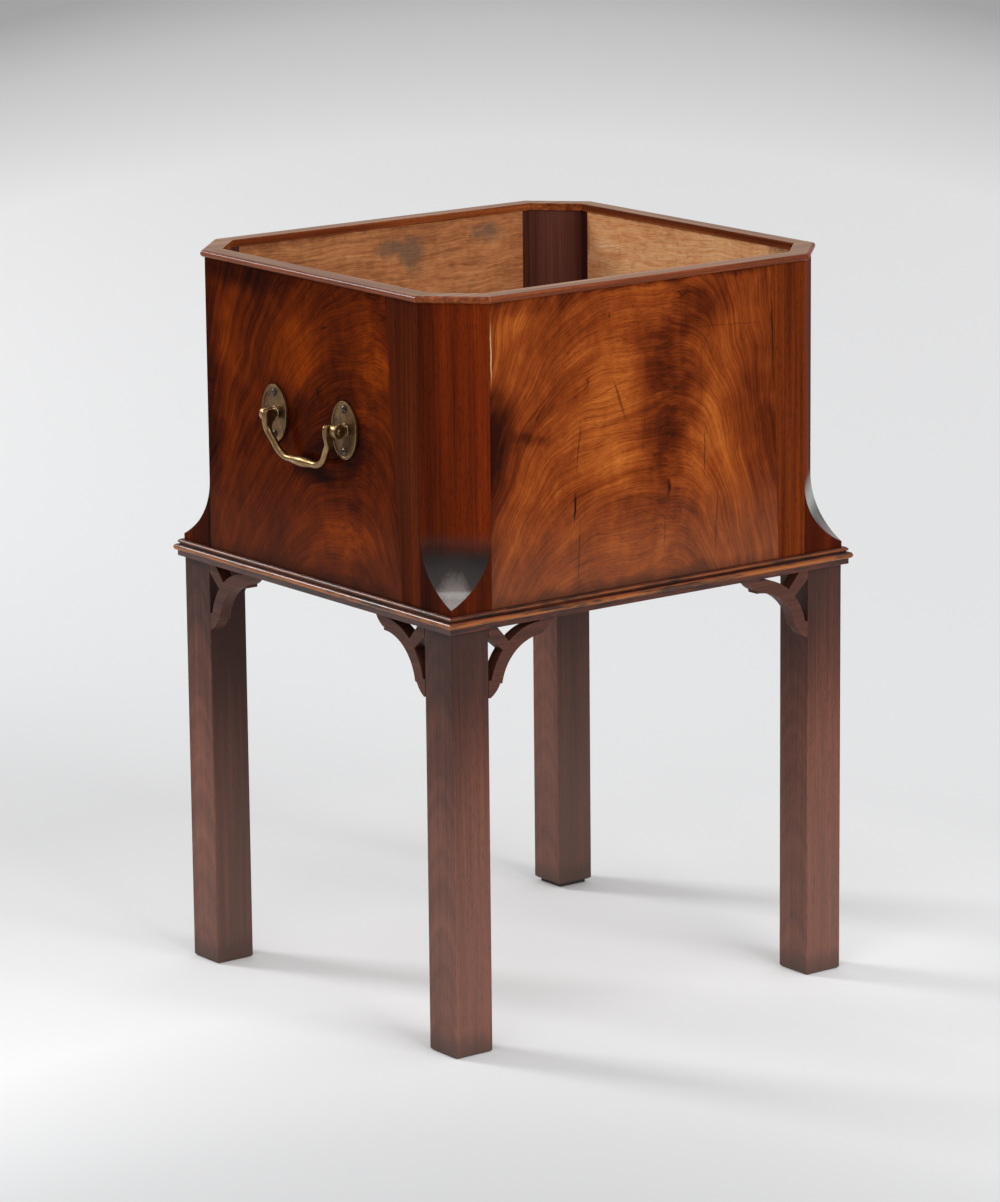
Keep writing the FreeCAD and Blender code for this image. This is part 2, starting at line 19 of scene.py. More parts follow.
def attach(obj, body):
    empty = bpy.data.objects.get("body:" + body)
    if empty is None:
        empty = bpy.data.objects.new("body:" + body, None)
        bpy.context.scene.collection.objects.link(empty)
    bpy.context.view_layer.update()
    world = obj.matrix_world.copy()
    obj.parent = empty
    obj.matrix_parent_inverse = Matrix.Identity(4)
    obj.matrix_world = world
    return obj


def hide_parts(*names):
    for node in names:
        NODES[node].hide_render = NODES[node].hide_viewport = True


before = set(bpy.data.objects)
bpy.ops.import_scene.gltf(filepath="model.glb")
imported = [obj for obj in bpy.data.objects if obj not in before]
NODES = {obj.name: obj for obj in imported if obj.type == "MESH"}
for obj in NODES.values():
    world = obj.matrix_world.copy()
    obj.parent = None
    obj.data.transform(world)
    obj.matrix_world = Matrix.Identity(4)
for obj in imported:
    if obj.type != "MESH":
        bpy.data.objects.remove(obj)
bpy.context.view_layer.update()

# %% [markdown]
# ## Colours and nodes
#
# Finishes are written down as sRGB hex values, the way a colour picker shows them, and Blender's
# shaders work in linear light, so one function converts. One more adds a node. Each finish gets its
# own `add` for its own tree. It takes a kind, with its mode as a second word, and the values, sockets
# or nodes that feed it, by name or in the order that the node shows.

# %% Helpers for colour and nodes
MM = 0.001
# the setting that the second word of a kind is for
MODES = {
    "Math": "operation", "VectorMath": "operation", "Mix": "data_type", "Mapping": "vector_type",
    "MapRange": "interpolation_type",
}


def srgb(hex_colour):
    """'#8a5c33' as a linear colour with full opacity."""
    linear = []
    for start in (1, 3, 5):
        value = int(hex_colour[start:start + 2], 16) / 255
        linear.append(value / 12.92 if value <= 0.04045 else ((value + 0.055) / 1.055) ** 2.4)
    return (*linear, 1.0)


def result(node):
    """The first output that a node shows."""
    return next(socket for socket in node.outputs if socket.enabled)


def add_node(tree, kind, feeds=(), stops=(), **settings):
    """Add one shader node; feeds are values, sockets or nodes, by name or in the order shown."""
    kind, _, mode = kind.partition(" ")
    node = tree.nodes.new("ShaderNode" + kind)
    if mode:
        setattr(node, MODES[kind], mode)
    for setting, value in settings.items():
        setattr(node, setting, value)
    if isinstance(feeds, dict):
        pairs = [(node.inputs[name], value) for name, value in feeds.items()]
    else:
        pairs = zip([socket for socket in node.inputs if socket.enabled], feeds)
    for socket, value in pairs:
        if isinstance(value, bpy.types.Node):
            value = result(value)
        if isinstance(value, bpy.types.NodeSocket):
            tree.links.new(value, socket)
        else:
            socket.default_value = value
    if stops:
        elements = node.color_ramp.elements
        elements.remove(elements[1])
        (elements[0].position, first), *later = stops.items()
        elements[0].color = srgb(first)
        for place, colour in later:
            elements.new(place).color = srgb(colour)
    return node


def wire(node, shader, socket):
    """Feed a node into one of the shader's sockets, in place of what fed it before."""
    shader.id_data.links.new(result(node), shader.inputs[socket])


def put(name, data):
    """Make an object of this data and put it in the scene."""
    thing = bpy.data.objects.new(name, data)
    bpy.context.scene.collection.objects.link(thing)
    return thing


def new_finish(name, **fixed):
    """A material with one Principled shader; values that are the same all over go on its sockets."""
    material = bpy.data.materials.new(name)
    material.use_nodes = True
    material.node_tree.nodes.clear()
    add = partial(add_node, material.node_tree)
    sockets = {word.replace("_", " ").title().replace("Ior", "IOR"): fixed[word] for word in fixed}
    shader = add("BsdfPrincipled", sockets)
    add("OutputMaterial", {"Surface": shader})
    return material, add, shader


print("mid grey in linear light:", round(srgb("#808080")[0], 3))

# %% [markdown]
# ## Camera
#
# The camera stands to the front and left, a little above the object, far enough away for a long lens,
# so that upright lines stay upright. Its aim comes from three angles: how far it is turned, how far it
# looks down, and how far it is tilted.

# %% Camera
CAMERA_PLACE = Vector((-2.8016, -3.7044, 1.4030))
CAMERA_TURN = 0.6453
CAMERA_DOWN = 0.2255
CAMERA_TILT = -0.0103
LENS = 158.77


def aim(turn, down, tilt):
    """Matrix whose columns are right, up and backwards."""
    ahead = Vector((sin(turn) * cos(down), cos(turn) * cos(down), -sin(down)))
    level = Vector((cos(turn), -sin(turn), 0))
    above = level.cross(ahead)
    right = cos(tilt) * level + sin(tilt) * above
    up = -sin(tilt) * level + cos(tilt) * above
    return Matrix((right, up, -ahead)).transposed().to_4x4()


camera = put("camera", bpy.data.cameras.new("camera"))
camera.data.lens = LENS
camera.matrix_world = Matrix.Translation(CAMERA_PLACE) @ aim(CAMERA_TURN, CAMERA_DOWN, CAMERA_TILT)
bpy.context.scene.camera = camera
bpy.context.scene.view_settings.view_transform = "Standard"
print("camera", round(CAMERA_PLACE.length, 2), "m from the middle of the floor")

# %% [markdown]
# ## Floor and light
#
# The object stands on a pale sweep of paper, drawn as one wide floor. Its colour holds painted light:
# brighter and darker along the camera's line of sight, and fading round at the sides, as light on real
# paper does. A soft lamp behind and to the left throws faint shadows forwards, a wide one fills the
# front, and a small one overhead catches the rim. The sky is brighter overhead, so metal has dark and
# light to mirror.

# %% Floor
FLOOR_HALF = 30.0
PAPER_PAINTED_LIGHT = {
    0.02: "#c2c3c4", 0.05: "#d2d3d4", 0.09: "#f1f2f3", 0.17: "#dadbdc",
    0.28: "#dddedf", 0.64: "#f0f0f1", 0.84: "#d8d8d9", 0.98: "#b6b6b7",
}
PAPER_ENDS = (-1.0, 9.0)
PAPER_BEND = 1.1
# where the painted light at the sides starts and ends to fade, in square metres aside, and from what
# share to what
PAINTED_SIDE_FALLOFF = (0.8, 25.0, 1.0, 0.86)

paper, add, shader = new_finish("matt_background_paper", roughness=0.9)
place = add("TexCoord").outputs["Object"]
turned_place = add("Mapping TEXTURE", [place, (0, 0, 0), (0, 0, -CAMERA_TURN), (1, 1, 1)])
sideways, ahead, _ = add("SeparateXYZ", [turned_place]).outputs
aside = add("Math MULTIPLY", [sideways, sideways])
reach = add("Math MULTIPLY_ADD", [aside, PAPER_BEND, ahead])
reach = add("MapRange", [reach, *PAPER_ENDS])
# painted light: the paper's tone rises and falls along the view, and fades at the sides
tone = add("ValToRGB", [reach], PAPER_PAINTED_LIGHT)
painted_falloff = add("MapRange SMOOTHSTEP", [aside, *PAINTED_SIDE_FALLOFF])
wire(add("VectorMath SCALE", [tone, painted_falloff]), shader, "Base Color")

sheet = bmesh.new()
ops.create_grid(sheet, x_segments=1, y_segments=1, size=FLOOR_HALF)
floor_mesh = bpy.data.meshes.new("floor")
sheet.to_mesh(floor_mesh)
sheet.free()
floor_mesh.materials.append(paper)
floor = put("floor", floor_mesh)
print("floor", 2 * FLOOR_HALF, "m across")

# %% Lamps and sky
# name, place and target in metres, width in metres, power in watts
LAMPS = (
    ("lamp_behind_left", (-2.6, 4.6, 3.4), (0, 0, 0.3), 1.5, 160),
    ("lamp_front", (0.4, -5.4, 3.0), (0, 0, 0.3), 3.4, 185),
    ("lamp_above", (-0.9, -0.7, 3.2), (0, 0, 0.5), 0.6, 6.5),
)
# from the horizon up to this height, and the light at both
SKY_RISE = (0.0, 0.9, 0.3, 0.8)

for name, place, target, width, power in LAMPS:
    light = bpy.data.lights.new(name, "AREA")
    light.size = width
    light.energy = power
    facing = (Vector(target) - Vector(place)).to_track_quat("-Z", "Y").to_matrix().to_4x4()
    put(name, light).matrix_world = Matrix.Translation(place) @ facing

sky = bpy.data.worlds.new("sky")
bpy.context.scene.world = sky
sky.use_nodes = True
sky.node_tree.nodes.clear()
add = partial(add_node, sky.node_tree)
height = add("SeparateXYZ", [add("TexCoord").outputs["Generated"]]).outputs["Z"]
level = add("MapRange SMOOTHSTEP", [height, *SKY_RISE])
glow = add("Background", {"Color": srgb("#ffffff"), "Strength": level})
add("OutputWorld", {"Surface": glow})
print(len(LAMPS), "soft lamps and a sky")

# %% [markdown]
# ## Easing the woodwork
#
# No edge on old furniture is sharp: a plane, sandpaper and years of dusting leave a small round that
# catches the light. The CAD solids have sharp edges, so each wooden piece is a copy of its solid with
# its corners welded, its flat faces joined up, and its edges bevelled. An operator is used and not a
# modifier, because it can pick the edges by their angle.

# %% A copy of a solid, with eased edges
WELD = 1e-6
FLAT = radians(1.0)
SHARP = radians(30)
LEAST_ANGLE = radians(35)
LEAST_RADII = 4
EASE_STEPS = 2


def bevelled(model, edges, offset, steps, **more):
    """Round edges by offset, in the model's own unit."""
    ops.bevel(
        model, geom=edges, offset=offset, affect="EDGES", segments=steps, profile=0.5, material=-1, **more,
    )


def finished_piece(name, mesh, material, body):
    """Put a mesh in the scene as a piece that rides on a body of the frame."""
    mesh.set_sharp_from_angle(angle=SHARP)
    mesh.materials.append(material)
    piece = put(name, mesh)
    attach(piece, body)
    return piece


def eased(node, material, radius):
    """Replace a wooden solid by a copy with its edges rounded by radius, in millimetres."""
    timber = bmesh.new()
    timber.from_mesh(NODES[node].data)
    ops.remove_doubles(timber, verts=timber.verts, dist=WELD)
    ops.dissolve_limit(timber, angle_limit=FLAT, verts=timber.verts, edges=timber.edges)
    edges = [
        edge for edge in timber.edges
        if len(edge.link_faces) == 2 and edge.calc_face_angle() > LEAST_ANGLE
        and edge.calc_length() > LEAST_RADII * radius * MM
    ]
    bevelled(timber, edges, radius * MM, EASE_STEPS, clamp_overlap=True)
    for face in timber.faces:
        face.smooth = True
    mesh = bpy.data.meshes.new(node + "_eased")
    timber.to_mesh(mesh)
    timber.free()
    piece = finished_piece(node + "_eased", mesh, material, "root")
    piece.modifiers.new("even shading", "WEIGHTED_NORMAL").keep_sharp = True
    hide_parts(node)


print("edges are eased in", EASE_STEPS, "steps")

# %% [markdown]
# ## The brass handles: where they go
#
# Each handle is cast and forged in a few pieces: two posts that pass through the wall to their nuts, an
# oval backplate round each post with two pins, and the bail, the bar that swings on a pin through the
# posts. Each piece is modelled once, in millimetres, round the middle of the pin: x runs along the
# pin, -y points away from the wall and z is up. Copies are then turned into their places.

# %% Places of the handles
SIDE_TURNS = {"left": radians(270), "right": radians(90)}
FACE_OUT = 216.5
PIN_HEIGHT = 529.0
PIN_OUT = 9.2
POST_X = 52.5
WALL_DEPTH = 14.0


def on_side(side, across=0.0, up=0.0):
    """From a handle's own millimetres to metres in the frame."""
    turned_side = Matrix.Rotation(SIDE_TURNS[side], 4, "Z")
    there = Matrix.Translation((across * MM, -FACE_OUT * MM, (PIN_HEIGHT + up) * MM))
    return turned_side @ there @ Matrix.Scale(MM, 4)


def only_verts(items):
    """The vertices among a bmesh operator's results."""
    return [item for item in items if isinstance(item, bmesh.types.BMVert)]


def mesh_of_copies(name, draw, places):
    """One mesh that holds what draw models, at each of the places."""
    model = bmesh.new()
    draw(model)
    ops.recalc_face_normals(model, faces=model.faces)
    original = model.verts[:] + model.edges[:] + model.faces[:]
    for there in places[:-1]:
        copy = ops.duplicate(model, geom=original)["geom"]
        ops.transform(model, matrix=there, verts=only_verts(copy))
    ops.transform(model, matrix=places[-1], verts=only_verts(original))
    for face in model.faces:
        face.smooth = True
    mesh = bpy.data.meshes.new(name)
    model.to_mesh(mesh)
    model.free()
    return mesh


POST_PLACES = [on_side(side, way * POST_X) for side in SIDE_TURNS for way in (-1, 1)]
print(len(POST_PLACES), "places for posts, backplates and nuts")

# %% [markdown]
# ## The bail
#
# The real bail is a round brass rod, swelled at the middle for the hand. Its arms spread outwards and
# end in flat cheeks on the pin; a nose on each meets the backplate and stops the swing. A curve with a
# bevel could give the rod, but can't go flat. Here a ring is drawn out along the rod from station to
# station, and each says where the ring is, how it is turned, and how wide and thick it has become.

# %% Stations along the bail
EYE_X = 46.0
BAIL_DROP = 34.2
BEND_RADIUS = 21.0
BEND_STEPS = 16
ARM_TOP = -11.0
ARM_SPREAD = 15.5
GRIP_OUT = 0.8
GRIP_STEPS = 12
FOOT_OUT = 4.5
ROD = 3.2
SWELL = 1.6
SWELL_HALF = 19.0
ARM_LEAN = atan2(ARM_SPREAD, BAIL_DROP + ARM_TOP)
BEND_X = EYE_X - ARM_SPREAD - BEND_RADIUS / tan((pi / 2 + ARM_LEAN) / 2)
CHEEK = (43.0, 48.2)
CHEEK_FOOT = -9.0
CHEEK_EXTRA = 0.8
# height, share of the arm's lean that is left, middle and half width out from the pin
CHEEK_SHAPE = (
    (-20.5, 1.0, 3.0, 3.25), (-18.0, 0.95, 3.4, 3.3), (-15.5, 0.75, 3.8, 3.4), (-13.0, 0.45, 4.15, 3.55),
    (-11.0, 0.2, 4.45, 3.75), (-9.0, 0.05, 4.6, 4.05), (-7.0, 0.0, 4.4, 4.75), (-5.4, 0.0, 3.9, 5.7),
    (-4.0, 0.0, 3.2, 6.6), (-2.6, 0.0, 2.75, 7.35), (-1.0, 0.0, 2.5, 7.8), (0.8, 0.0, 2.4, 7.9),
    (2.4, 0.0, 2.5, 7.6), (3.6, 0.0, 2.65, 7.05), (4.5, 0.0, 2.9, 6.2), (5.1, 0.0, 3.1, 5.1),
    (5.4, 0.0, 3.2, 3.7),
)


def station(x, z, climb, across, thick, out):
    """Places a unit ring at (x, z); climb is how far the rod has turned up from level."""
    tilt = Matrix.Rotation(-climb, 4, "Y")
    return Matrix.Translation((x, -PIN_OUT - out, z)) @ tilt @ Matrix.Diagonal((1, across, thick, 1))


def rod_stations():
    """Half the bail: from mid grip round the bend and up to the top of the cheek."""
    places = []
    for step in range(GRIP_STEPS + 1):
        x = SWELL_HALF * step / GRIP_STEPS
        radius = ROD + SWELL * (0.5 + 0.5 * cos(pi * x / SWELL_HALF))
        places.append(station(x, -BAIL_DROP, 0, radius, radius, GRIP_OUT))
    bend = pi / 2 - ARM_LEAN
    for step in range(1, BEND_STEPS + 1):
        climb = bend * step / BEND_STEPS
        x = BEND_X + BEND_RADIUS * sin(climb)
        z = BEND_RADIUS - BAIL_DROP - BEND_RADIUS * cos(climb)
        out = GRIP_OUT + (FOOT_OUT - GRIP_OUT) * (z + BAIL_DROP) / (BAIL_DROP + ARM_TOP)
        places.append(station(x, z, climb, ROD, ROD, out))
    foot_x, foot_z = x, z
    for z, lean, out, half_width in CHEEK_SHAPE:
        along = foot_x + (z - foot_z) * tan(ARM_LEAN)
        x = min(along, EYE_X) * lean + EYE_X * (1 - lean)
        thick = ROD + CHEEK_EXTRA * (1 - lean)
        places.append(station(x, z, pi / 2 - ARM_LEAN * lean, half_width, thick, out))
    return places


print(len(rod_stations()), "stations along half a bail")

# %% Drawing out a rod
PIN = 2.2
RIVET = 2.7
RIVET_X = 56.8
RIVET_LENGTH = 1.2
RING_SIDES = 28
JOINED = 0.01


def drawn_out(model, places):
    """Extrude a ring from place to place, and close its far end."""
    ring = ops.create_circle(model, segments=RING_SIDES, radius=1.0)["verts"]
    edges = list({edge for vert in ring for edge in vert.link_edges})
    facing = Matrix.Rotation(pi / 2, 4, "Y")
    ops.transform(model, matrix=places[0] @ facing, verts=ring)
    for before, after in zip(places, places[1:]):
        made = ops.extrude_edge_only(model, edges=edges)["geom"]
        ring = set(only_verts(made))
        edges = [item for item in made if isinstance(item, bmesh.types.BMEdge) and set(item.verts) <= ring]
        ops.transform(model, matrix=after @ before.inverted(), verts=list(ring))
    ops.holes_fill(model, edges=edges, sides=0)


def rounded_rod(model, radius, start, end, ease):
    """A short rod along x with eased ends, for pins, rivets and barrels."""
    made = ops.create_cone(
        model, cap_ends=True, segments=RING_SIDES, radius1=radius, radius2=radius, depth=end - start,
    )["verts"]
    there = Matrix.Translation(((start + end) / 2, -PIN_OUT, 0)) @ Matrix.Rotation(pi / 2, 4, "Y")
    ops.transform(model, matrix=there, verts=made)
    caps = {face for vert in made for face in vert.link_faces if len(face.verts) > 4}
    rims = list({edge for face in caps for edge in face.edges})
    bevelled(model, rims, ease, 3)


def bail_model(model):
    """Half a bail with its pin, then the other half as its mirror image."""
    drawn_out(model, rod_stations())
    for vert in model.verts:
        if vert.co.z > CHEEK_SHAPE[0][0]:
            inner = CHEEK[0] - max(0, CHEEK_FOOT - vert.co.z)
            vert.co.x = min(max(vert.co.x, inner), CHEEK[1])
    rounded_rod(model, PIN, EYE_X, RIVET_X + 0.5, ease=0.2)
    rounded_rod(model, RIVET, RIVET_X, RIVET_X + RIVET_LENGTH, ease=0.7)
    everything = model.verts[:] + model.edges[:] + model.faces[:]
    ops.mirror(model, geom=everything, matrix=Matrix.Identity(4), merge_dist=JOINED, axis="X")
    ops.remove_doubles(model, verts=model.verts, dist=JOINED)


print("bail", 2 * RIVET_X, "mm over its rivets")

# %% [markdown]
# ## Posts, backplates, pins and nuts
#
# A post is a small casting: a collar and a square neck on the plate, a cross barrel that holds the
# bail's pin, and a square shank through the wall to a nut. The turned parts are profiles spun round
# the post's axis. The backplate is an oval disc, inset and sunk so that a raised edge stays. Both
# are quick to model with operators and stay exact in section.

# %% Posts
COLLAR_PROFILE = ((0.0, 1.4), (5.9, 1.4), (6.1, 1.7), (5.9, 2.15), (5.2, 2.5), (3.0, 2.7), (0.0, 2.7))
TURNING_STEPS = 32
NECK = 7.4
NECK_FOOT = 1.5
BARREL = 6.4
BARREL_HALF = 4.0
SHANK = 4.5
SHANK_INNER = 20.0
PLATE_FACE_OUT = 1.7


def turned(model, profile):
    """Spin a profile of (radius, distance out from the wall) round the post's axis."""
    verts = [model.verts.new((radius, -out, 0)) for radius, out in profile]
    edges = [model.edges.new(pair) for pair in zip(verts, verts[1:])]
    ops.spin(
        model, geom=verts + edges, cent=(0, 0, 0), axis=(0, 1, 0), angle=2 * pi,
        steps=TURNING_STEPS, use_merge=True,
    )
    ops.remove_doubles(model, verts=model.verts, dist=0.001)


def square_rod(model, side, outer, inner, tip, ease):
    """A square rod along y from outer to inner; its inner end is scaled by tip."""
    made = ops.create_cube(model, size=1.0)["verts"]
    middle = Matrix.Translation((0, (outer + inner) / 2, 0))
    ops.transform(model, matrix=middle @ Matrix.Diagonal((side, inner - outer, side, 1)), verts=made)
    end = [vert for vert in made if vert.co.y > (outer + inner) / 2]
    ops.scale(model, vec=(tip, 1, tip), verts=end)
    bevelled(model, list({edge for vert in made for edge in vert.link_edges}), ease, 2)


def post_model(model):
    """Collar, square neck, cross barrel and the shank through the wall."""
    turned(model, COLLAR_PROFILE)
    square_rod(model, NECK, -PIN_OUT, -NECK_FOOT, tip=1.05, ease=0.9)
    rounded_rod(model, BARREL, -BARREL_HALF, BARREL_HALF, ease=0.8)
    square_rod(model, SHANK, -PLATE_FACE_OUT, SHANK_INNER, tip=1.0, ease=0.3)


print("post", PIN_OUT + SHANK_INNER, "mm long, from pin to shank end")

# %% Backplates
PLATE_HALF = (18.5, 25.75)
PLATE_EDGE_OUT = 2.6
PLATE_EDGE_WIDTH = 2.1
PLATE_EDGE_SLOPE = 0.45
PLATE_SIDES = 80


def backplate_model(model):
    """An oval disc with a raised, rounded edge."""
    outline = ops.create_circle(model, cap_ends=True, segments=PLATE_SIDES, radius=1.0)["verts"]
    oval_shape = Matrix.Diagonal((*PLATE_HALF, 1, 1))
    ops.transform(model, matrix=Matrix.Rotation(pi / 2, 4, "X") @ oval_shape, verts=outline)
    front = ops.extrude_face_region(model, geom=model.faces[:])["geom"]
    ops.translate(model, vec=(0, -PLATE_EDGE_OUT, 0), verts=only_verts(front))
    face = [item for item in front if isinstance(item, bmesh.types.BMFace)]
    outer_edge = face[0].edges[:]
    ops.inset_region(model, faces=face, thickness=PLATE_EDGE_WIDTH)
    inner_edge = face[0].edges[:]
    bevelled(model, outer_edge, 0.8, 3)
    ops.inset_region(model, faces=face, thickness=PLATE_EDGE_SLOPE)
    ops.translate(model, vec=(0, PLATE_EDGE_OUT - PLATE_FACE_OUT, 0), verts=face[0].verts)
    bevelled(model, inner_edge, 0.4, 2)


print("backplate", 2 * PLATE_HALF[1], "mm high")

# %% Pins and nuts
PIN_Z = 18.5
DOME_PROFILE = (
    (0.0, 1.5), (3.3, 1.5), (3.5, 1.75), (3.45, 2.15), (2.9, 2.85),
    (2.1, 3.45), (1.1, 3.85), (0.5, 3.97), (0.0, 4.0),
)
NAIL_SIDE = 1.6
NAIL_END = 12.0
NUT_SIDE = 10.0
NUT_THICK = 4.0


def pin_model(model):
    """A domed head on a tapered square nail."""
    turned(model, DOME_PROFILE)
    square_rod(model, NAIL_SIDE, -PLATE_FACE_OUT, NAIL_END, tip=0.45, ease=0.1)


def nut_model(model):
    """A square nut against the inside of the wall."""
    square_rod(model, NUT_SIDE, WALL_DEPTH, WALL_DEPTH + NUT_THICK, tip=1.0, ease=0.6)


PIN_PLACES = [
    on_side(side, way * POST_X, up * PIN_Z) for side in SIDE_TURNS for way in (-1, 1) for up in (-1, 1)
]
print(len(PIN_PLACES), "pins")

# %% [markdown]
# ## Mahogany: grain as stretched noise
#
# The whole object is mahogany, polished to a warm gloss on the case and only waxed on the stand. Its
# grain is long, thin streaks of lighter and darker wood with short dark pores between them. A noise
# gives round blobs, and a Mapping node that stretches space along the grain makes them streaks. Those
# of several sizes add up to one number, the shade, and a colour ramp turns it into wood. Real pores
# are about 0.2 mm wide, too fine to show, so they are drawn 0.9 mm wide.

# %% Helpers for grain
MM_PER_M = (1000, 1000, 1000)
NO_MOVE = (0, 0, 0)
NO_DEPTH = 1e6
PORE = (7, 0.9)
PORE_SHARE = 0.36
DARK_PORE = "#1a0b06"


def object_mm(add):
    """Object coordinates in millimetres; pieces sit at the origin, so they are the frame's."""
    place = add("TexCoord").outputs["Object"]
    return add("VectorMath MULTIPLY", [place, MM_PER_M])


def noise_of(add, spot, size, detail=1.0):
    """A noise whose blobs have this size in millimetres, along each axis."""
    stretched = add("Mapping TEXTURE", [spot, NO_MOVE, NO_MOVE, size])
    return add("TexNoise", [stretched, 1.0, detail])


def wandering(add, spot, size, amount):
    """The same place, pushed about by a slow noise."""
    push = noise_of(add, spot, (size, size, 1)).outputs["Color"]
    push = add("VectorMath MULTIPLY_ADD", [push, (2 * amount, 2 * amount, 0), (-amount, -amount, 0)])
    return add("VectorMath ADD", [spot, push])


def streaks(add, spot, layers, shade):
    """Add stretched noises to a shade; a layer is a size in millimetres, an amount and a detail."""
    for size, amount, detail in layers:
        swing = add("MapRange", [noise_of(add, spot, size, detail), 0.25, 0.75, -amount, amount])
        shade = add("Math ADD", [shade, swing])
    return shade


def dashes(add, spot, size, amount):
    """amount inside small dashes, for the pores, and 0 between them."""
    return add("MapRange", [noise_of(add, spot, size), PORE_SHARE, PORE_SHARE + 0.08, amount, 0.0])


def oval(add, spot, x, y, half_x, half_y, turn):
    """Distance from the middle of a turned oval, 1 at its edge and the same at any depth."""
    turned_to = (0, 0, radians(turn))
    near = add("Mapping TEXTURE", [spot, (x, y, 0), turned_to, (half_x, half_y, NO_DEPTH)])
    return add("VectorMath LENGTH", [near])


def soft_patches(add, spot, patches, shade):
    """Lighten or darken soft ovals: middle, half sizes, turn in degrees, amount."""
    for *shape, amount in patches:
        far = oval(add, spot, *shape)
        extra = add("MapRange SMOOTHSTEP", [far, 0.15, 1.15, amount, 0.0])
        shade = add("Math ADD", [shade, extra])
    return shade


def cracks(add, spot, lines):
    """depth inside thin tapered ovals: middle, half length, half width, turn in degrees, depth."""
    total = 0.0
    wavy = wandering(add, spot, 12, 1.3)
    for x, y, half_length, half_width, turn, depth in lines:
        far = oval(add, wavy, x, y, half_width, half_length, turn)
        mark = add("MapRange", [far, 0.55, 1.1, depth, 0.0])
        total = add("Math MAXIMUM", [total, mark])
    return total


def colour_wood(add, shader, shade, stops, pore, relief):
    """Ramp the shade into wood colour, darken the pores and give both a slight relief."""
    wood = add("Mix RGBA", [pore, add("ValToRGB", [shade], stops), srgb(DARK_PORE)])
    height = add("Math SUBTRACT", [shade, pore])
    wire(add("Bump", {"Height": height, "Strength": relief, "Distance": 0.0006}), shader, "Normal")
    wire(wood, shader, "Base Color")
    return wood


print("streaks, dashes, patches and cracks ready")

# %% [markdown]
# ## Crotch veneer
#
# The four faces are veneered with crotch mahogany, cut through the fork of a tree. A dark spine runs up
# the leaf, and the fibres sweep away from it on both sides like a flame, ever steeper. Such saw-cut
# leaves are about 2 mm thick and were hand-scraped and French polished: that gives the eye a deep
# red-brown with a soft gloss. A height that drops with the distance from the spine is the same all
# along one fibre, so noise stretched along that height follows the sweep. Patches and shrinkage cracks
# go on top, in millimetres from the leaf's lower left corner. One split was filled and shows pale.

# %% Flow along the fibres
CASE_FOOT = 391.0
FACES = {
    "front": ("X", 1, 173.5), "right": ("Y", 1, 159.0), "back": ("X", -1, 173.5), "left": ("Y", -1, 159.0),
}
SPINE_BLUR = 260.0
LINE_GAP = 7.5
LINE_SWAY = 5.0
LINE_WIDTH = 0.09
LINE_DARKNESS = 0.16


def on_face(add, side, seed):
    """Millimetres across and up a leaf from its lower left corner, as seen from outside."""
    axis, way, half = FACES[side]
    parts = add("SeparateXYZ", [object_mm(add)])
    across = add("Math MULTIPLY_ADD", [parts.outputs[axis], way, half])
    up = add("Math SUBTRACT", [parts.outputs["Z"], CASE_FOOT])
    return add("CombineXYZ", [across, up, seed])


def flame_flow(add, spot, leaf):
    """Flow coordinates of a leaf: along a fibre, across the fibres, and which side of the spine."""
    across, up, _ = add("SeparateXYZ", [wandering(add, wandering(add, spot, 85, 14), 28, 2.0)]).outputs
    leaning = add("Math MULTIPLY_ADD", [up, -leaf["lean"], across])
    off = add("Math SUBTRACT", [leaning, leaf["spine"]])
    far = add("Math SQRT", [add("Math MULTIPLY_ADD", [off, off, SPINE_BLUR])])
    drops = []
    # one sweep for each side of the spine: steepest slope, where it is reached, and how suddenly
    for slope, distance, power in leaf["sweeps"]:
        ratio = add("Math DIVIDE", [far, distance])
        curve = add("Math POWER", [ratio, power + 1])
        drops.append(add("Math MULTIPLY", [curve, slope * distance / (power + 1)]))
    right = add("Math GREATER_THAN", [off, 0.0])
    drop = add("Mix", [right, *drops])
    height = add("Math ADD", [up, drop])
    along = add("Math SUBTRACT", [far, up])
    flank = add("MapRange SMOOTHSTEP", [off, -24.0, 24.0, 0.0, 1.6])
    return add("CombineXYZ", [along, height, flank])


def thin_lines(add, flow):
    """Thin dark lines that follow the fibres, as late wood does, strong here and faint there."""
    noise = noise_of(add, flow, (130, 26, 1))
    _, across, _ = add("SeparateXYZ", [flow]).outputs
    steps = add("Math MULTIPLY_ADD", [noise, LINE_SWAY, add("Math DIVIDE", [across, LINE_GAP])])
    fold = add("Math PINGPONG", [steps, 0.5])
    line = add("MapRange SMOOTHSTEP", [fold, 0.0, LINE_WIDTH, -LINE_DARKNESS, 0.0])
    strength = add("MapRange", [add("TexNoise", [flow, 0.018, 1.0]), 0.4, 0.6, 0.1, 1.0])
    return add("Math MULTIPLY", [line, strength])


print("fibres flow on", len(FACES), "faces")

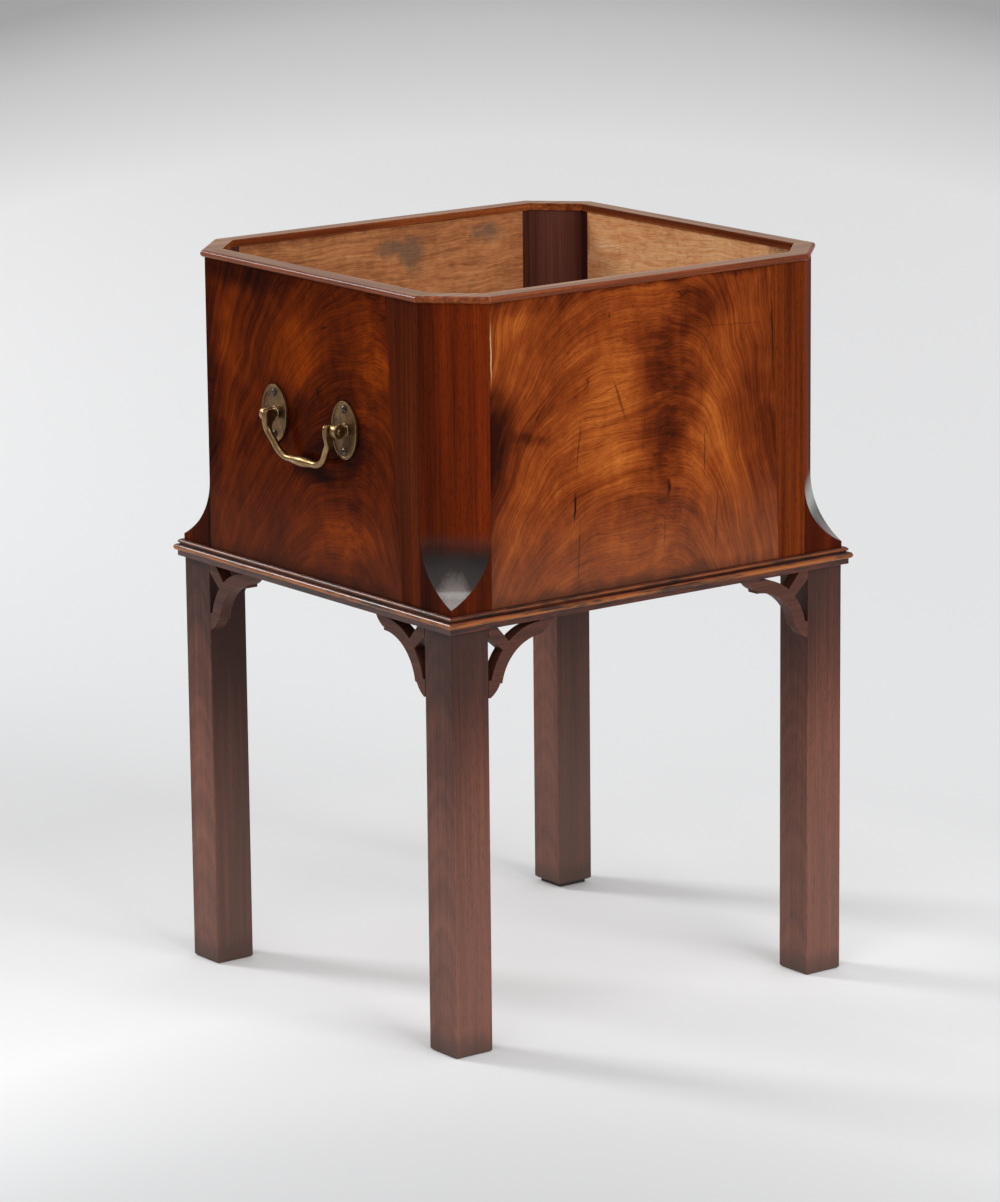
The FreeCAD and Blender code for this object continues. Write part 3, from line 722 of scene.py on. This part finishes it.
# %% The four leaves
FRONT_LEAF = {
    "spine": 187.0, "lean": 0.05, "sweeps": ((2.0, 167.0, 3.0), (1.2, 40.0, 1.4)),
    "seed": 4.0, "start": 0.48, "painted_sheen": "#86604c",
    "stops": {0.08: "#2c0f06", 0.3: "#5b230c", 0.5: "#863c15", 0.7: "#ac5a23", 0.95: "#cf7e38"},
    "patches": (
        (125, 119, 50, 42, 0, 0.24), (133, 186, 52, 40, 0, 0.14), (28, 243, 13, 26, -35, 0.16),
        (10, 139, 34, 50, 0, -0.32), (43, 141, 30, 8, -20, -0.14), (196, 186, 44, 84, 0, -0.2),
        (190, 112, 30, 70, 0, -0.14), (192, 81, 3, 9, 0, -0.3), (237, 239, 36, 24, 0, -0.16),
        (240, 139, 18, 48, 0, 0.14), (263, 73, 22, 60, 15, 0.08), (318, 130, 50, 150, 0, -0.14),
        (150, -4, 230, 16, 0, -0.3), (213, 56, 22, 34, 0, -0.14), (60, 262, 70, 16, 0, -0.12),
        # the band at (173, 270) is painted shade under the rim
        (173, 270, 260, 12, 0, -0.3), (-4, 90, 22, 150, 0, -0.2),
    ),
    "cracks": (
        (94, 128, 24, 0.6, -8, 0.8), (90, 76, 14, 1.3, -3, 1.0), (94, 34, 32, 0.7, -3, 0.8),
        (233, 107, 24, 0.6, 0, 0.75), (246, 42, 38, 0.6, -3, 0.85), (188, 42, 26, 0.5, -4, 0.6),
        (139, 164, 20, 1.7, 20, 0.55), (309, 206, 60, 0.8, 2, 0.85), (229, 180, 40, 0.45, 0, 0.5),
        (207, 215, 46, 0.45, 0, 0.45), (257, 216, 0.6, 48, -3, 0.4), (165, 130, 34, 0.45, -4, 0.4),
        (128, 238, 3, 2, 0, 0.5), (293, 240, 22, 0.7, 0, 0.6), (150, 50, 20, 0.4, 0, 0.4),
        (1.2, 120, 70, 0.7, 0, 0.6),
    ),
}
LEFT_LEAF = {
    "spine": 215.0, "lean": 0.17, "sweeps": ((3.0, 200.0, 1.4), (2.0, 60.0, 1.2)),
    "seed": 9.0, "start": 0.39, "painted_sheen": "#6e4232",
    "stops": {0.05: "#200803", 0.28: "#421404", 0.5: "#682606", 0.72: "#933d09", 0.95: "#b7570e"},
    "patches": (
        (133, 196, 60, 46, 0, 0.2), (257, 196, 32, 44, 0, 0.22), (60, 256, 90, 18, 0, -0.25),
        (187, 129, 62, 40, 0, -0.2), (0, 130, 30, 150, 0, -0.2), (213, 46, 52, 26, 0, 0.18),
        (160, -4, 230, 16, 0, -0.25), (211, 138, 30, 40, 0, -0.2), (107, 138, 30, 40, 0, -0.2),
        # the oval at (159, 95) is a painted shadow under the bail's grip
        (159, 95, 36, 12, 0, -0.28), (300, 130, 26, 140, 0, -0.12), (35, 200, 26, 50, 20, 0.1),
    ),
    "cracks": (
        (182, 223, 1.2, 7, 20, 0.7), (6.7, 152.6, 4, 6, 0, 0.6), (23, 118, 3, 4, 0, 0.35),
        (25, 26, 10, 0.9, 30, 0.35),
    ),
}
RIGHT_LEAF = {
    **FRONT_LEAF,
    "spine": 166.0, "lean": -0.06, "sweeps": ((1.4, 60.0, 1.4), (2.2, 160.0, 2.4)),
    "seed": 17.0, "start": 0.47,
    "patches": (
        (200, 120, 52, 46, 0, 0.2), (96, 186, 50, 40, 0, 0.12), (166, 196, 30, 60, 0, -0.28),
        (166, 100, 16, 60, 0, -0.18), (300, 140, 36, 50, 0, -0.2), (150, -4, 230, 16, 0, -0.3),
        (159, 138, 75, 40, 0, -0.12),
    ),
    "cracks": ((70, 60, 30, 0.6, 4, 0.7), (230, 130, 26, 0.6, -4, 0.6), (120, 210, 30, 0.5, 2, 0.5)),
}
BACK_LEAF = {
    **FRONT_LEAF,
    "spine": 170.0, "lean": 0.04, "sweeps": ((2.1, 150.0, 2.6), (1.4, 60.0, 1.5)),
    "seed": 23.0, "start": 0.45,
    "patches": (
        (110, 130, 56, 46, 0, 0.18), (230, 170, 46, 50, 0, 0.14), (172, 190, 30, 60, 0, -0.3),
        (172, 90, 16, 60, 0, -0.16), (20, 120, 36, 60, 0, -0.25), (150, -4, 230, 16, 0, -0.3),
    ),
    "cracks": ((80, 90, 34, 0.6, -5, 0.75), (250, 60, 40, 0.6, 3, 0.7), (210, 200, 30, 0.5, 0, 0.5)),
}
LEAVES = {"front": FRONT_LEAF, "left": LEFT_LEAF, "right": RIGHT_LEAF, "back": BACK_LEAF}
print("leaves for", ", ".join(LEAVES))

# %% Veneer finish
POLISH = {"roughness": 0.32, "specular_ior_level": 0.0, "coat_weight": 0.045, "coat_roughness": 0.14}
FIBRE_LAYERS = (((170, 24, 1), 0.1, 1.5), ((95, 5, 1), 0.075, 2.0), ((60, 1.7, 1), 0.06, 1.0))
CLOUD_LAYERS = (((62, 70, 1), 0.1, 2.0), ((9, 20, 1), 0.05, 1.5))
# a pale painted sheen toward the foot of each leaf, which also stands for polish gone milky
PAINTED_SHEEN = 0.24
PAINTED_SHEEN_HEIGHT = 100.0
FILLED = {"front": ((1.6, 220, 28, 0.8, 0, 0.9),)}
FILLER = "#c3a073"


def flame_veneer(side):
    """French-polished crotch mahogany, paler toward the foot: partly polish gone a little milky, partly
    painted sheen.
    """
    leaf = LEAVES[side]
    material, add, shader = new_finish("french_polished_crotch_mahogany_" + side, **POLISH)
    spot = on_face(add, side, leaf["seed"])
    flow = flame_flow(add, spot, leaf)
    shade = streaks(add, flow, FIBRE_LAYERS, leaf["start"])
    shade = streaks(add, spot, CLOUD_LAYERS, shade)
    shade = add("Math ADD", [shade, thin_lines(add, flow)])
    shade = soft_patches(add, wandering(add, spot, 24, 8), leaf["patches"], shade)
    pore = dashes(add, flow, (*PORE, 1), 0.32)
    pore = add("Math MAXIMUM", [pore, cracks(add, spot, leaf["cracks"])])
    wood = colour_wood(add, shader, shade, leaf["stops"], pore, 0.25)
    # paler toward the foot: painted sheen mixed into the colour
    up = add("SeparateXYZ", [spot]).outputs["Y"]
    low = add("MapRange SMOOTHSTEP", [up, 0.0, PAINTED_SHEEN_HEIGHT, PAINTED_SHEEN, 0.0])
    wood = add("Mix RGBA", [low, wood, srgb(leaf["painted_sheen"])])
    filled = add("Mix RGBA", [cracks(add, spot, FILLED.get(side, ())), wood, srgb(FILLER)])
    wire(filled, shader, "Base Color")
    return material


print("veneer with", len(FIBRE_LAYERS), "sizes of fibre")

# %% [markdown]
# ## Straight-grained mahogany
#
# Strips, posts, rim, mouldings and stand are cut straight along the grain. One function makes their
# finishes from the direction of the grain and the streaks' sizes. Along the arrises the polish is
# rubbed thin and the wood shows paler. The Bevel node rounds the surface only for shading, and where
# its normal turns away from the real one there is an edge nearby.

# %% Straight-grained finishes
WEAR_RADIUS = 0.0022


def near_edge(add, radius, start, end, amount):
    """amount at an edge, 0 away from it; start and end say how far the two normals agree."""
    rounded = add("Bevel", {"Radius": radius}, samples=4)
    flat = add("NewGeometry").outputs["Normal"]
    same = add("VectorMath DOT_PRODUCT", [rounded, flat])
    return add("MapRange", [same, start, end, 0.0, amount])


def straight_wood(name, axis, start, layers, wear=0.0, **gloss):
    """A finish with its grain along an axis of the frame, and the nodes that later steps add to."""
    material, add, shader = new_finish(name, **gloss)
    spot = object_mm(add)

    def stretched(length, width):
        return tuple(length if letter == axis else width for letter in "XYZ")

    shade = streaks(add, spot, [(stretched(*size), amount, 1.5) for size, amount in layers], start)
    if wear:
        edge = near_edge(add, WEAR_RADIUS, 0.995, 0.86, wear)
        rubbed = add("MapRange", [add("TexNoise", [spot, 0.07, 3.0]), 0.38, 0.62, 0.1, 1.0])
        edge = add("Math MULTIPLY", [edge, rubbed])
        shade = add("Math ADD", [shade, edge])
    pore = dashes(add, spot, stretched(*PORE), 0.3)
    return material, add, shader, spot, shade, pore


STRIP_STOPS = {0.1: "#2a0e05", 0.35: "#54200b", 0.55: "#7b3510", 0.8: "#a25a1c"}
STRIP_LAYERS = (((420, 14), 0.1), ((260, 3.0), 0.06), ((120, 1.1), 0.05))


def strip_veneer(side):
    """Straight-grained strip beside the leaf, French polished, darker on the left side."""
    material, add, shader, _, shade, pore = straight_wood(
        "french_polished_straight_mahogany_" + side, "Z", 0.33 if side == "left" else 0.43,
        STRIP_LAYERS, **POLISH,
    )
    colour_wood(add, shader, shade, STRIP_STOPS, pore, 0.25)
    return material


print("strips with", len(STRIP_LAYERS), "sizes of streak")

# %% [markdown]
# ## Corner posts
#
# A post is one solid length of mahogany, polished outside with the veneers and left bare inside the
# box. The hollow at its foot is hard to reach with a cloth, so old wax has built up there. Its colour
# is partly that wax and partly a painted reflection: pale low in its middle, nearly black round its
# rim and higher up. The object's own normals tell the square faces from the slanting ones.

# %% Corner posts
POST_STOPS = {0.05: "#1e0a05", 0.3: "#4a1908", 0.5: "#74290b", 0.72: "#963f11", 0.95: "#b85a1c"}
POST_LAYERS = (((500, 26), 0.08), ((260, 7), 0.07), ((140, 2.0), 0.06), ((60, 1.0), 0.04))
INSIDE_POST = 358.0
SCOOP_TOP = 458.0
# the hollow's colour: old wax with a painted reflection, pale low down, dark higher up and at its rim
HOLLOW_WAX_AND_REFLECTION_TONES = {0.0: "#4a3f39", 0.12: "#8c8480", 0.3: "#6c625d", 0.5: "#231916", 0.85: "#170c08"}
BARE_TONES = {0.2: "#40211a", 0.5: "#643b31", 0.8: "#835547"}
HOLLOW_MIDDLE = 14.5
SQUARE_DARKER = 0.17
# from, to, and the change of tone at both, in millimetres off the cant's middle; the cant is darker
# toward its end by the left or right face
CANT_SIDE_DARKENING = (14.0, 60.0, 0.0, -0.15)
# the hollow's painted reflection darkens toward its rim
HOLLOW_DARK_RIM = (4.0, 32.0, 0.0, 0.3)
HOLLOW_ROUGHNESS = 0.2
BARE_ROUGHNESS = 0.6


def slanting(add):
    """1 on faces that look between two axes, 0 on those that look along one."""
    facing = add("VectorMath ABSOLUTE", [add("TexCoord").outputs["Normal"]])
    along_x, along_y, _ = add("SeparateXYZ", [facing]).outputs
    square_on = add("Math MAXIMUM", [along_x, along_y])
    return add("MapRange", [square_on, 0.8, 0.9, 1.0, 0.0])


def wax_and_painted_reflection(add, up, beside, shade):
    """Colour of the hollow, old wax with a painted reflection, by height and by distance from its middle.
    """
    ragged = add("MapRange", [shade, 0.2, 0.7, -0.1, 0.1])
    level = add("MapRange", [up, CASE_FOOT, SCOOP_TOP, 0.0, 1.0])
    aside = add("Math ABSOLUTE", [add("Math SUBTRACT", [beside, HOLLOW_MIDDLE])])
    shaded = add("MapRange SMOOTHSTEP", [aside, *HOLLOW_DARK_RIM])
    level = add("Math ADD", [level, shaded])
    level = add("Math ADD", [level, ragged])
    return add("ValToRGB", [level], HOLLOW_WAX_AND_REFLECTION_TONES)


def corner_post_wood():
    """Solid corner posts, polished outside and bare inside; old wax and a painted reflection in the
    hollow.
    """
    material, add, shader, spot, shade, pore = straight_wood(
        "polished_solid_mahogany_posts", "Z", 0.45, POST_LAYERS, **POLISH,
    )
    x, y, up = add("SeparateXYZ", [add("VectorMath ABSOLUTE", [spot])]).outputs
    reach = add("Math ADD", [x, y])
    beside = add("Math SUBTRACT", [x, y])
    # darker toward the cant's end by the left or right face
    shade = add("Math ADD", [shade, add("MapRange SMOOTHSTEP", [beside, *CANT_SIDE_DARKENING])])
    slant = slanting(add)
    shade = add("Math MULTIPLY_ADD", [slant, SQUARE_DARKER, shade])
    shade = add("Math SUBTRACT", [shade, SQUARE_DARKER])
    wood = colour_wood(add, shader, shade, POST_STOPS, pore, 0.2)
    below = add("MapRange SMOOTHSTEP", [up, SCOOP_TOP - 26, SCOOP_TOP + 2, 1.0, 0.0])
    hollow = add("Math MULTIPLY", [slant, below])
    # the hollow's colour is partly old wax and partly a painted reflection
    wood = add("Mix RGBA", [hollow, wood, wax_and_painted_reflection(add, up, beside, shade)])
    inside = add("MapRange", [reach, INSIDE_POST, INSIDE_POST + 1, 1.0, 0.0])
    wire(add("Mix RGBA", [inside, wood, add("ValToRGB", [shade], BARE_TONES)]), shader, "Base Color")
    gloss = add("MapRange", [hollow, 0.0, 1.0, POLISH["roughness"], HOLLOW_ROUGHNESS])
    wire(add("Mix", [inside, gloss, BARE_ROUGHNESS]), shader, "Roughness")
    wire(add("MapRange", [hollow, 0.0, 1.0, POLISH["coat_weight"], 1.0]), shader, "Coat Weight")
    return material


print("posts with hollows of", SCOOP_TOP - CASE_FOOT, "mm")

# %% [markdown]
# ## Rim and base mouldings
#
# The rim is a flat strip with a half-round nose: dust and handling dull its top, which also gets a
# greyish painted sheen, and the nose keeps its polish. The base moulding was planed with shaped irons.
# Its colour follows the height: rubbed down to golden wood on its rounds, and painted shade, dark to
# nearly black, in its groove and on its lower fillet under the round.

# %% Rim and mouldings
RIM_STOPS = {0.1: "#3a180c", 0.4: "#703216", 0.65: "#9a5127", 0.9: "#c4865a"}
RIM_LAYERS = (((260, 8), 0.2), ((120, 2.2), 0.14))
RIM_TOP_SHEEN_TONES = {0.2: "#785a49", 0.5: "#997a65", 0.8: "#b2947c"}
DUST_AND_SHEEN = 0.8
MOULDING_FOOT = 376.0
# by height from the foot: painted shade, dark to near-black, in the groove and on the lower fillet; golden
# on the rounds
MOULDING_BANDS_AND_SHADE = {
    0.0: "#2a150d", 0.28: "#2a150d", 0.34: "#8a4a1a", 0.5: "#ae6824", 0.64: "#6f3413", 0.69: "#0e0705",
    0.77: "#0e0705", 0.81: "#6e3613", 0.9: "#8a4d1a", 0.95: "#3a1a0c", 0.985: "#120906",
}
MOULDING_LAYERS = (((70, 5), 0.24), ((60, 2.0), 0.16), ((14, 3), 0.16))
BAND_SHARE = 0.75
GRIME = "#190d08"


def rim_wood(axis):
    """Half-round rim, its flat top dulled by dust and handling and painted with a greyish pink-brown
    sheen.
    """
    material, add, shader, _, shade, pore = straight_wood(
        "rubbed_mahogany_rim_" + axis.lower(), axis, 0.48, RIM_LAYERS, wear=0.22, roughness=0.3,
        specular_ior_level=0.12, coat_weight=0.1, coat_roughness=0.12,
    )
    wood = colour_wood(add, shader, shade, RIM_STOPS, pore, 0.2)
    upright = add("SeparateXYZ", [add("TexCoord").outputs["Normal"]]).outputs["Z"]
    # top-facing faces: a greyish painted sheen in the colour, and dust in the roughness
    top = add("MapRange", [upright, 0.9, 0.995, 0.0, DUST_AND_SHEEN])
    wire(add("Mix RGBA", [top, wood, add("ValToRGB", [shade], RIM_TOP_SHEEN_TONES)]), shader, "Base Color")
    wire(add("MapRange", [top, 0.0, DUST_AND_SHEEN, 0.3, 0.5]), shader, "Roughness")
    return material


def moulding_wood(axis):
    """Base moulding, with painted shade in its hollows and rubbed on its rounds."""
    material, add, shader, spot, shade, pore = straight_wood(
        "rubbed_mahogany_moulding_" + axis.lower(), axis, 0.5, MOULDING_LAYERS, wear=0.25, roughness=0.32,
        specular_ior_level=0.2, coat_weight=0.35, coat_roughness=0.14,
    )
    up = add("SeparateXYZ", [spot]).outputs["Z"]
    level = add("MapRange", [up, MOULDING_FOOT, CASE_FOOT, 0.0, 1.0])
    # the bands by height hold painted shade in the groove and under the round
    bands = add("ValToRGB", [level], MOULDING_BANDS_AND_SHADE)
    wood = add("Mix RGBA", [BAND_SHARE, colour_wood(add, shader, shade, POST_STOPS, pore, 0.2), bands])
    grime = add("MapRange", [shade, 0.3, 0.52, 0.85, 0.0])
    wire(add("Mix RGBA", [grime, wood, srgb(GRIME)]), shader, "Base Color")
    return material


print("moulding", CASE_FOOT - MOULDING_FOOT, "mm high")

# %% [markdown]
# ## The stand
#
# The stand was never French polished, only waxed, and has dried to a greyer red-brown. Painted shade
# darkens each leg under the mouldings, the rails and brackets under the case, and the fronts of the
# rear legs; each leg is also darker at its foot, and low down a greyish painted reflection of the
# floor lies on it. On the side faces the saw went across the growth rings, and they show as tall
# arches.

# %% The stand
STAND_STOPS = {0.08: "#3a1c12", 0.3: "#5a3022", 0.5: "#774331", 0.72: "#8f5740", 0.95: "#a97254"}
STAND_LAYERS = (((300, 30), 0.07), ((240, 5), 0.06), ((110, 1.4), 0.08))
LEG_MIDDLE_Y = 184.0
LEG_FLOOR_REFLECTION = "#857068"
ARCH_BEND = 0.07
# from, to, and the amount at both, in millimetres; painted shade on the rear legs' fronts and under
# the case, a darker foot, and a painted reflection of the floor low down
REAR_LEG_PAINTED_SHADE = (-60.0, 60.0, 0.0, -0.2)
PAINTED_SHADE_TOP = (190.0, MOULDING_FOOT, 0.0, -0.34)
DARK_FOOT = (1.0, 26.0, -0.3, 0.0)
FLOOR_REFLECTION_DOWN = (330.0, 60.0, 0.0, 0.22)


def leg_shading(add, spot, up, shade):
    """Arched figure on the side faces, painted shade on the rear legs' fronts and the top, and a dark
    foot.
    """
    x, y, _ = add("SeparateXYZ", [add("VectorMath ABSOLUTE", [spot])]).outputs
    off = add("Math SUBTRACT", [y, LEG_MIDDLE_Y])
    curve = add("Math MULTIPLY", [off, off])
    arch = add("Math MULTIPLY_ADD", [curve, ARCH_BEND, up])
    arch = add("CombineXYZ", [x, 0.0, arch])
    bands = add("TexNoise", [arch, 0.045, 1.5])
    facing = add("Math ABSOLUTE", [add("SeparateXYZ", [add("TexCoord").outputs["Normal"]])])
    figure = add("MapRange", [bands, 0.3, 0.7, -0.09, 0.09])
    figure = add("Math MULTIPLY", [figure, facing])
    shade = add("Math ADD", [shade, figure])
    # painted shade on the fronts of the rear legs
    back = add("SeparateXYZ", [spot]).outputs["Y"]
    behind = add("MapRange", [back, *REAR_LEG_PAINTED_SHADE])
    front_face = add("Math SUBTRACT", [1.0, facing])
    shade = add("Math MULTIPLY_ADD", [behind, front_face, shade])
    # painted shade at the top, under the case, and a darker foot
    for fall in (PAINTED_SHADE_TOP, DARK_FOOT):
        shade = add("Math ADD", [shade, add("MapRange SMOOTHSTEP", [up, *fall])])
    return shade


def stand_wood(axis):
    """Planed and waxed stand: a dry, slightly greyish red-brown with fine grain."""
    upright = axis == "Z"
    # rails and brackets start darker than the legs: painted shade under the case
    material, add, shader, spot, shade, pore = straight_wood(
        "waxed_mahogany_stand_" + axis.lower(), axis, 0.43 if upright else 0.22, STAND_LAYERS,
        wear=0.16, roughness=0.55, specular_ior_level=0.3,
    )
    up = add("SeparateXYZ", [spot]).outputs["Z"]
    if upright:
        shade = leg_shading(add, spot, up, shade)
    wood = colour_wood(add, shader, shade, STAND_STOPS, pore, 0.3)
    if upright:
        # toward the floor, a greyish painted reflection of the floor
        painted_sheen = add("MapRange SMOOTHSTEP", [up, *FLOOR_REFLECTION_DOWN])
        wire(add("Mix RGBA", [painted_sheen, wood, srgb(LEG_FLOOR_REFLECTION)]), shader, "Base Color")
    return material


print("stand with", len(STAND_LAYERS), "sizes of streak")

# %% [markdown]
# ## Bare boards inside the case
#
# Nobody polished the inside. The boards are sawn, roughly planed mahogany that has dried to a light
# brown with no gloss, with streaky grain and old stains, grey where something stood wet and orange
# where glue ran, and a dark band along the top, under the rim. The right wall, which faces the lamp
# behind and to the left, gets paler stops as painted light. A noise makes the edges of the stains
# ragged.

# %% Boards
BOARD_STOPS = {0.06: "#43281c", 0.28: "#754429", 0.5: "#a3663a", 0.72: "#bf8150", 0.94: "#d7a373"}
# paler, peach stops for the right wall: painted light where the lamp behind and to the left falls
PAINTED_LIGHT_BOARD_STOPS = {0.06: "#93502a", 0.28: "#c27844", 0.5: "#e29d64", 0.72: "#f2b981", 0.94: "#fcd8aa"}
BOARD_STREAKS = (((150, 14, 1), 0.1, 2.0), ((60, 3.0, 1), 0.1, 2.0), ((26, 1.3, 1), 0.1, 1.0))
BOARD_CLOUDS = (((40, 22, 1), 0.12, 3.0), ((7, 5, 1), 0.08, 2.0))
BOARD_PORE = (9, 1.1, 1)
# colour, and patches in millimetres along the wall and up from the floor; the second colour of each
# is mostly a dark band along the top, under the rim
BACK_STAINS = (
    ("#5c4c40", ((8, 634, 24, 13, 0, 0.8), (32, 626, 20, 24, 0, 0.95), (118, 638, 26, 13, 0, 0.85))),
    ("#6a2f14", ((-110, 655, 130, 9, 0, 0.8), (-150, 630, 12, 30, 20, 0.7))),
)
RIGHT_STAINS = (
    ("#ad5c1b", ((146, 630, 6, 30, 0, 1.0), (20, 644, 12, 10, 0, 0.5))),
    ("#5f2c16", ((60, 657, 150, 6, 0, 0.75), (-140, 650, 40, 12, 0, 0.7))),
)


def board_wood(name, axes, stops, start, stains, turn):
    """Dull sawn boards, drawn on two axes of the frame; the grain leans by turn degrees."""
    material, add, shader = new_finish(name, roughness=0.8, specular_ior_level=0.3)
    parts = add("SeparateXYZ", [object_mm(add)])
    flat = add("CombineXYZ", [parts.outputs[axes[0]], parts.outputs[axes[1]], start])
    leaning = [wandering(add, flat, 45, 5), NO_MOVE, (0, 0, radians(turn)), (1, 1, 1)]
    grain = add("Mapping TEXTURE", leaning)
    shade = streaks(add, grain, BOARD_STREAKS, start)
    shade = streaks(add, flat, BOARD_CLOUDS, shade)
    wood = colour_wood(add, shader, shade, stops, dashes(add, grain, BOARD_PORE, 0.2), 0.6)
    ragged = add("TexNoise", [flat, 0.12, 5.0, 0.62])
    for colour, patches in stains:
        stain = soft_patches(add, flat, patches, 0.0)
        stain = add("Math MULTIPLY_ADD", [ragged, 1.6, stain])
        stain = add("MapRange", [stain, 0.95, 1.7, 0.0, 0.7])
        wood = add("Mix RGBA", [stain, wood, srgb(colour)])
    wire(wood, shader, "Base Color")
    return material


print("boards with", len(BACK_STAINS), "kinds of stain at the back")

# %% [markdown]
# ## Brass, pins and the leather pad
#
# The handles are cast and forged brass, toned to an olive brown. Handling keeps the grip and the edges
# bright, and dirt gathers where the backplate meets the wall. A metal's colour is its reflection, so
# the tone changes its base colour and the dirt makes it rougher. The pins' heads are almost black,
# and the pad is a scrap of leather, dull and fibrous.

# %% Aged brass
BRASS_STOPS = {0.1: "#35271a", 0.32: "#6a4f33", 0.52: "#91744f", 0.75: "#bda280", 0.97: "#ebdec8"}
BRASS_LAYERS = (((14, 14, 14), 0.12, 2.0), ((3, 3, 3), 0.06, 2.0))
BRASS_EDGE = 0.001
PIN_TONES = {0.1: "#2a2523", 0.5: "#554b47", 0.9: "#9a8e86"}
LEATHER_TONES = {0.1: "#1c1613", 0.5: "#342823", 0.9: "#54423a"}


def aged_brass(name, start, shine):
    """Toned brass: olive where it's left alone, pale where it's rubbed."""
    material, add, shader = new_finish(name, metallic=1.0)
    spot = object_mm(add)
    out = add("Math ABSOLUTE", [add("SeparateXYZ", [spot])])
    depth = add("MapRange", [out, FACE_OUT + 1.5, FACE_OUT + 9, -0.16, 0.02])
    shade = streaks(add, spot, BRASS_LAYERS, start)
    shade = add("Math ADD", [shade, depth])
    shade = add("Math ADD", [shade, near_edge(add, BRASS_EDGE, 0.985, 0.8, 0.5)])
    wire(add("ValToRGB", [shade], BRASS_STOPS), shader, "Base Color")
    wire(add("MapRange", [shade, 0.1, 0.9, shine + 0.2, shine]), shader, "Roughness")
    wire(add("Bump", {"Height": shade, "Strength": 0.1, "Distance": 0.0004}), shader, "Normal")
    return material


def dark_pins():
    """Pins' heads, blackened by polish and wax that was never cleaned off."""
    material, add, shader = new_finish("blackened_brass", metallic=1.0, roughness=0.3)
    shade = streaks(add, object_mm(add), (((2, 2, 2), 0.3, 2.0),), 0.4)
    wire(add("ValToRGB", [shade], PIN_TONES), shader, "Base Color")
    return material


def leather():
    """A scrap of vegetable-tanned leather under the short leg, dark with age."""
    material, add, shader = new_finish("old_leather", roughness=0.75)
    shade = streaks(add, object_mm(add), (((6, 6, 6), 0.3, 3.0), ((0.8, 0.8, 0.8), 0.2, 1.0)), 0.45)
    wire(add("ValToRGB", [shade], LEATHER_TONES), shader, "Base Color")
    wire(add("Bump", {"Height": shade, "Strength": 0.4, "Distance": 0.0005}), shader, "Normal")
    return material


print("brass in", len(BRASS_STOPS), "tones, dark pins and leather")

# %% [markdown]
# ## Dressing the frame
#
# Each solid gets the finish of what it is cut from, with the grain along its length: upright in legs,
# posts and strips, and lengthwise in rails, rim and mouldings.

# %% Dress the woodwork
LENGTHWISE = {"front": "X", "back": "X", "left": "Y", "right": "Y"}
RIM = {axis: rim_wood(axis) for axis in "XY"}
MOULDING = {axis: moulding_wood(axis) for axis in "XY"}
STAND = {axis: stand_wood(axis) for axis in "XYZ"}
POSTS = corner_post_wood()
BOARDS = {
    "back": board_wood("sawn_mahogany_boards_back", "XZ", BOARD_STOPS, 0.55, BACK_STAINS, 0),
    # the right wall's paler stops are painted light
    "right": board_wood("sawn_mahogany_boards_right", "YZ", PAINTED_LIGHT_BOARD_STOPS, 0.62, RIGHT_STAINS, -4),
    "front": board_wood("sawn_mahogany_boards_front", "XZ", BOARD_STOPS, 0.46, BACK_STAINS, 2),
    "left": board_wood("sawn_mahogany_boards_left", "YZ", BOARD_STOPS, 0.44, RIGHT_STAINS[:1], -3),
    "bottom": board_wood("sawn_mahogany_floor", "YX", BOARD_STOPS, 0.4, (), 0),
}


def finish_of(node):
    """Material and eased edge, in millimetres, of a wooden solid."""
    first, *_, last = words = node.split("_")
    if last == "veneer":
        return flame_veneer(first), 0.25
    if last == "strip":
        return strip_veneer(first), 0.25
    if last in ("wall", "board"):
        return BOARDS[first], 0.4
    if first == "corner":
        return POSTS, 0.4
    if first == "rim":
        return RIM[LENGTHWISE.get(words[1], "X")], 0.6
    if first == "base":
        return MOULDING[LENGTHWISE[last]], 0.4
    if first == "leg":
        return STAND["Z"], 0.4
    if first == "foot":
        return leather(), 0.5
    return STAND[LENGTHWISE[words[1]]], 0.45


BRASS_NODES = ("left_bail", "right_bail", "handle_posts", "backplates", "backplate_pins", "handle_nuts")
wooden = sorted(set(NODES) - set(BRASS_NODES))
for node in wooden:
    material, radius = finish_of(node)
    eased(node, material, radius)
print(len(wooden), "solids eased and finished")

# %% Dress the brass
BAIL_BRASS = aged_brass("handled_brass", start=0.47, shine=0.2)
CAST_BRASS = aged_brass("toned_cast_brass", start=0.52, shine=0.22)
PLATE_BRASS = aged_brass("toned_sheet_brass", start=0.48, shine=0.24)
for side in SIDE_TURNS:
    mesh = mesh_of_copies(side + "_bail_forged", bail_model, [on_side(side)])
    bail = finished_piece(side + "_bail_forged", mesh, BAIL_BRASS, side + "_bail")
    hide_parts(side + "_bail")
for node, draw, places, metal in (
    ("handle_posts", post_model, POST_PLACES, CAST_BRASS),
    ("backplates", backplate_model, POST_PLACES, PLATE_BRASS),
    ("backplate_pins", pin_model, PIN_PLACES, dark_pins()),
    ("handle_nuts", nut_model, POST_PLACES, CAST_BRASS),
):
    mesh = mesh_of_copies(node + "_made", draw, places)
    piece = finished_piece(node + "_made", mesh, metal, "root")
    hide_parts(node)
print(len(SIDE_TURNS), "handles dressed")
